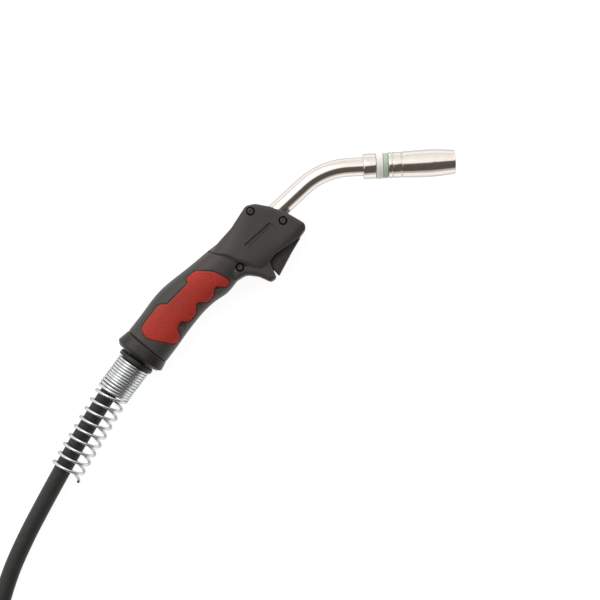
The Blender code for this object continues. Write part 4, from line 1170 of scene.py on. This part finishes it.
def build_spring():
    """The steel spring: closed turns on the seat, then open turns that follow the cable."""
    wire = bpy.context.scene.torch_sizes.wire_radius
    start = SEAT + REAR_WAY * ((SEAT_RIM + 1.2) * MM + GAP)
    closed = CLOSED_TURNS * CLOSED_PITCH
    line = [start, start + REAR_WAY * closed / 2, start + REAR_WAY * closed]
    axis = smooth_line([*line, *SPRING_ROUTE], 1 * MM)
    steps = 36
    path = []
    for step in range((CLOSED_TURNS + OPEN_TURNS) * steps + 1):
        turn = step / steps
        open_turns = max(0, turn - CLOSED_TURNS)
        run = (turn - open_turns) * CLOSED_PITCH + open_turns * OPEN_PITCH
        spot = min(run / (1 * MM), len(axis) - 1.001)
        index = int(spot)
        ahead = (axis[min(index + 1, len(axis) - 1)] - axis[max(index - 1, 0)]).normalized()
        side = Z_AXIS.cross(ahead).normalized()
        up = ahead.cross(side)
        middle = axis[index].lerp(axis[index + 1], spot - index)
        angle = math.tau * turn
        path.append(middle + SPRING_RADIUS * (side * math.cos(angle) + up * math.sin(angle)))
    piece("relief_spring", swept(path, wire), "zinc_steel", ["strain_relief_spring"], angle=60)


def ribbed_boot():
    """The profile of the boot, its ribs shrinking towards the cable."""
    line = [(BOOT_START, 7.8, 0)]
    for rib in range(BOOT_RIBS):
        near = BOOT_START - BOOT_PITCH * rib
        radius = 11.5 - 0.3 * rib
        line += [(near, radius, 0.5), (near - 2.9, radius, 0.5), (near - 2.9, radius - 1.2, 0.3)]
        line.append((near - BOOT_PITCH, radius - 1.2, 0.3))
    line.append((BOOT_START - BOOT_PITCH * BOOT_RIBS, 7.8, 0))
    return line


def build_connector():
    """The central connector, its grip and the boot on the cable."""
    body_end = 8.2
    flange_end = body_end + 4.3
    spigot_end = flange_end + 26
    ring_x = spigot_end - 7
    nut = [
        (0, 15.6, 0.5),
        (0, 20.6, 1.5),
        (1.5, 22.0, 1),
        (29.5, 22.0, 1),
        (31, 20.6, 1),
        (31, 19, 0.5),
        (8, 19, 0.5),
        (8, 15.6, 0.5),
    ]
    housing = [
        (-1, 15.3, 0.3),
        (-1, 19, 1),
        (-23, 19, 3),
        (-31, 16, 6),
        (-51, 16, 6),
        (-59, 18, 4),
        (-65, 16, 2),
        (-68, 13, 2),
        (-68, 8.1, 0),
        (-20.4, 8.1, 0),
        (-20.4, 15.3, 0),
    ]
    spigot = [
        (body_end - 12, 2, 0),
        (body_end - 12, 5.5, 0),
        (spigot_end, 5.5, 0.8),
        (spigot_end, 2, 0.3),
    ]
    seal = [
        (ring_x - 1, 5.8, 0.3),
        (ring_x - 1, 6.6, 0.6),
        (ring_x, 7.2, 0.8),
        (ring_x + 1, 6.6, 0.6),
        (ring_x + 1, 5.8, 0.3),
    ]
    flange = [
        (body_end + 0.3, 5.8, 0.2),
        (body_end + 0.3, 18, 0.5),
        (flange_end, 18, 0.8),
        (flange_end, 5.8, 0.2),
    ]
    body = pipe(-19.8, body_end, 5.8, 15, 0.2, 0.5)
    hexagon = pipe(spigot_end + 0.3, spigot_end + 7.3, 2, 5)
    screw = [(11.3, 0, 0), (11.3, 1.3, 0), (18.5, 1.3, 0.3), (18.5, 0, 0)]
    pin = [
        (0.8, 0, 0),
        (0.8, 2, 0.3),
        (flange_end + 9, 2, 0.5),
        (flange_end + 10, 1.2, 0.5),
        (flange_end + 10, 0, 0),
    ]

    grooves = spaced_round(18, lambda: shifted(rod(1.3, 3, 28, 20), 0, 0, 22.7), 0.5)
    dimples = spaced_round(10, lambda: shifted(rod(2.2, -49, -33, 20), 0, 0, 17.6))
    pin_holes = [shifted(rod(2.3, -2.3, 14, 24), 0, y, PIN_HEIGHT) for y in PIN_SIDES.values()]
    hole_copies = [tool.copy() for tool in pin_holes]
    screw_hole = upright(rod(1.6, 11, 20), -12, 0)

    nut = carved(turned(nut, 96), "DIFFERENCE", *grooves)
    housing = carved(turned(housing, 96), "DIFFERENCE", screw_hole.copy(), *dimples)
    body = carved(turned(body, 64), "DIFFERENCE", screw_hole, *pin_holes)
    flange = carved(turned(flange, 96), "DIFFERENCE", *hole_copies)
    parts = [
        ("connector_nut", nut, "black_plastic", "plug_nut", "plug_nut_ring"),
        ("connector_grip", housing, "black_plastic", "plug_housing", "torch"),
        ("connector_body", body, "brass", "plug_body", "torch"),
        ("connector_flange", flange, "black_plastic", "plug_flange", "torch"),
        ("gas_pipe", turned(spigot, 64), "brass", "gas_spigot", "torch"),
        ("pipe_seal", turned(seal, 64), "cable_rubber", "spigot_o_ring", "torch"),
        ("cable_boot", turned(ribbed_boot(), 56, 3), "cable_rubber", "plug_boot", "torch"),
        ("liner_end_nut", turned(hexagon, 6), "brass", "liner_nut", "torch"),
        ("grip_screw", upright(turned(screw, 32), -12, 0), "dark_steel", "plug_screw", "torch"),
    ]
    for name, y in PIN_SIDES.items():
        made = shifted(turned(pin, 40), 0, y, PIN_HEIGHT)
        parts.append((f"switch_pin_{name}", made, "brass", f"control_pin_{name}", f"pin_{name}"))
    return [
        piece(name, moved(bm, PLUG_LINE), slot, [node], on_body, 30)
        for name, bm, slot, node, on_body in parts
    ]


def coil_at(turn):
    """The cable's place in the coil after that many turns."""
    radius, layer = COIL_MOVES[0][2:]
    for begin, end, next_radius, next_layer in COIL_MOVES[1:]:
        share = min(1, max(0, (turn - begin) / (end - begin)))
        share = share * share * (3 - 2 * share)
        radius += (next_radius - radius) * share
        layer += (next_layer - layer) * share
    angle = math.pi + math.tau * turn
    around = Vector((math.cos(angle), math.sin(angle), 0)) * radius
    return COIL_CENTRE + around + Z_AXIS * (COIL_LOW + layer * LAYER_RISE)


def build_cable(on_cable):
    """The cable from the handle's rear, through its coil, into the connector."""
    sizes = bpy.context.scene.torch_sizes
    exit_point = SEAT + REAR_WAY * SEAT_RIM * MM
    lead = [exit_point - REAR_WAY * 22 * MM, exit_point, *[Vector(point) for point in LEAD_ROUTE]]
    turns = [coil_at(step / 36) for step in range(round(COIL_TURNS * 36) + 1)]
    end = PLUG_LINE @ Vector((-28.2 * MM, 0, 0))
    tail = [turns[-1].lerp(end, share) for share in (0.25, 0.5, 0.75, 1)]
    route = [*smooth_line([*lead, *turns[::3]], 8 * MM)[:-1], turns[-1], *tail]
    made = round_line("cable", route, sizes.cable_diameter / 2, 8)
    made.data.materials.append(finish_of("cable_rubber"))
    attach(made, "torch")
    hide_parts("cable_lead", "cable_coil", "cable_tail")


def dress_inner_parts():
    """Materials for the frame's own nodes that stay in view or inside."""
    for row in frame["record"]["subparts"]:
        node = frame["nodes"][row["node"]]
        if node.hide_render:
            continue
        finish = finish_of(row["material_slot"])
        if not node.material_slots:
            node.data.materials.append(finish)
        for place in node.material_slots:
            place.material = finish


def build_floor():
    """A white sheet that the torch lies on."""
    bm = bmesh.new()
    bmesh.ops.create_grid(bm, x_segments=8, y_segments=8, size=6)
    bmesh.ops.translate(bm, vec=(0, 0, -0.4 * MM), verts=bm.verts)
    floor = placed("studio_floor", stored("studio_floor", bm))
    paper = Finish("studio_paper", 0.9)
    paper.set("Base Color", (0.2, 0.2, 0.2, 1))
    paper.set("Emission Color", (1, 1, 1, 1))
    paper.set("Emission Strength", FLOOR_GLOW)
    floor.data.materials.append(paper.material)


def build_sky():
    """The studio's light in bands round the handle, and plain white behind everything."""
    world = bpy.data.worlds.new("studio")
    bpy.context.scene.world = world
    sky = Finish("studio", 0, data=world)
    sky.tree.nodes.clear()
    way = sky.node("ShaderNodeTexCoord", output="Generated")
    dot = {"operation": "DOT_PRODUCT"}
    towards = sky.node("ShaderNodeVectorMath", dot, [way, SKY_SIDE], "Value")
    height = sky.node("ShaderNodeSeparateXYZ", {}, [way], "Z")
    angle = sky.node("ShaderNodeMath", {"operation": "ARCTAN2"}, [towards, height])
    place = angle / math.tau + 0.5
    stops = [(0.5 + degrees / 360, tone) for degrees, tone in STUDIO_BANDS]
    light = sky.node("ShaderNodeValToRGB", {"stops": stops}, [place])
    seen = sky.node("ShaderNodeLightPath", output="Is Camera Ray")
    colour = sky.mix(seen, light, (1.0, 1.0, 1.0))
    back = sky.node("ShaderNodeBackground", {}, {"Color": colour, "Strength": SKY_STRENGTH})
    sky.node("ShaderNodeOutputWorld", {}, {"Surface": back}, None)


def build_key():
    """One soft lamp, high on the far side."""
    data = bpy.data.lights.new("key", "AREA")
    data.size = KEY_SIZE
    data.energy = KEY_POWER
    data.color = WARM_WHITE
    lamp = placed("key", data)
    lamp.location = KEY_PLACE
    lamp.rotation_euler = (KEY_PLACE - KEY_TARGET).to_track_quat("Z", "Y").to_euler()


def build_camera():
    data = bpy.data.cameras.new("camera")
    data.sensor_width = 36
    data.lens = LENS
    data.clip_start = 0.05
    camera = placed("camera", data)
    camera.location = CAMERA_PLACE
    camera.rotation_euler = (0, 0, CAMERA_TURN)
    bpy.context.scene.camera = camera
    bpy.context.scene.view_settings.view_transform = "Standard"


# ================================================================ operators
class TORCH_OT_stage(bpy.types.Operator):
    """Make the floor, the studio light and the camera"""

    bl_idname = "torch.stage"
    bl_label = "Stage"

    def execute(self, context):
        build_floor()
        build_sky()
        build_key()
        build_camera()
        return {"FINISHED"}


class TORCH_OT_cable(bpy.types.Operator):
    """Lay the cable in its coil and fit its connector"""

    bl_idname = "torch.cable"
    bl_label = "Cable and Connector"

    def execute(self, context):
        build_cable(build_connector())
        return {"FINISHED"}


class TORCH_OT_shells(bpy.types.Operator):
    """Mould the handle's two shells"""

    bl_idname = "torch.shells"
    bl_label = "Handle Shells"

    def execute(self, context):
        build_shells()
        return {"FINISHED"}


class TORCH_OT_panels(bpy.types.Operator):
    """Set the rubber panels in the grip"""

    bl_idname = "torch.panels"
    bl_label = "Rubber Panels"

    def execute(self, context):
        build_panels()
        return {"FINISHED"}


class TORCH_OT_rear(bpy.types.Operator):
    """Fit the locking ring and the spring's seat"""

    bl_idname = "torch.rear"
    bl_label = "Rear Ring"

    def execute(self, context):
        build_rear()
        return {"FINISHED"}


class TORCH_OT_screws(bpy.types.Operator):
    """Put in the housing screws"""

    bl_idname = "torch.screws"
    bl_label = "Housing Screws"

    def execute(self, context):
        build_screws()
        return {"FINISHED"}


class TORCH_OT_neck(bpy.types.Operator):
    """Bend the neck's tube"""

    bl_idname = "torch.neck"
    bl_label = "Swan Neck"

    def execute(self, context):
        build_neck()
        return {"FINISHED"}


class TORCH_OT_nozzle(bpy.types.Operator):
    """Turn the collar, insulator, seal, gas nozzle and contact tip"""

    bl_idname = "torch.nozzle"
    bl_label = "Gas Nozzle"

    def execute(self, context):
        build_nozzle()
        return {"FINISHED"}


class TORCH_OT_trigger(bpy.types.Operator):
    """Mould the ridged trigger"""

    bl_idname = "torch.trigger"
    bl_label = "Trigger"

    def execute(self, context):
        build_trigger()
        return {"FINISHED"}


class TORCH_OT_spring(bpy.types.Operator):
    """Wind the strain relief spring"""

    bl_idname = "torch.spring"
    bl_label = "Relief Spring"

    def execute(self, context):
        build_spring()
        return {"FINISHED"}


class TORCH_OT_inner_parts(bpy.types.Operator):
    """Give the frame's own inner parts their materials"""

    bl_idname = "torch.inner_parts"
    bl_label = "Inner Parts"

    def execute(self, context):
        dress_inner_parts()
        return {"FINISHED"}


OPERATORS = (
    TORCH_OT_stage,
    TORCH_OT_cable,
    TORCH_OT_shells,
    TORCH_OT_panels,
    TORCH_OT_rear,
    TORCH_OT_screws,
    TORCH_OT_neck,
    TORCH_OT_nozzle,
    TORCH_OT_trigger,
    TORCH_OT_spring,
    TORCH_OT_inner_parts,
)


class TORCH_PT_sidebar(bpy.types.Panel):
    """Sizes, colours and building steps of the torch"""

    bl_idname = "TORCH_PT_sidebar"
    bl_label = "Welding Torch"
    bl_space_type = "VIEW_3D"
    bl_region_type = "UI"
    bl_category = "Torch"

    def draw(self, context):
        for settings in (context.scene.torch_sizes, context.scene.torch_colours):
            box = self.layout.box()
            for name in type(settings).__annotations__:
                box.prop(settings, name)
        for operator in OPERATORS:
            self.layout.operator(operator.bl_idname)


CLASSES = (TORCH_PG_colours, TORCH_PG_sizes, *OPERATORS, TORCH_PT_sidebar)


def register():
    for cls in CLASSES:
        bpy.utils.register_class(cls)
    bpy.types.Scene.torch_colours = bpy.props.PointerProperty(type=TORCH_PG_colours)
    bpy.types.Scene.torch_sizes = bpy.props.PointerProperty(type=TORCH_PG_sizes)


def unregister():
    del bpy.types.Scene.torch_sizes
    del bpy.types.Scene.torch_colours
    for cls in reversed(CLASSES):
        bpy.utils.unregister_class(cls)


def main():
    register()
    for operator in OPERATORS:
        group, name = operator.bl_idname.split(".")
        getattr(getattr(bpy.ops, group), name)()


if __name__ == "__main__":
    main()
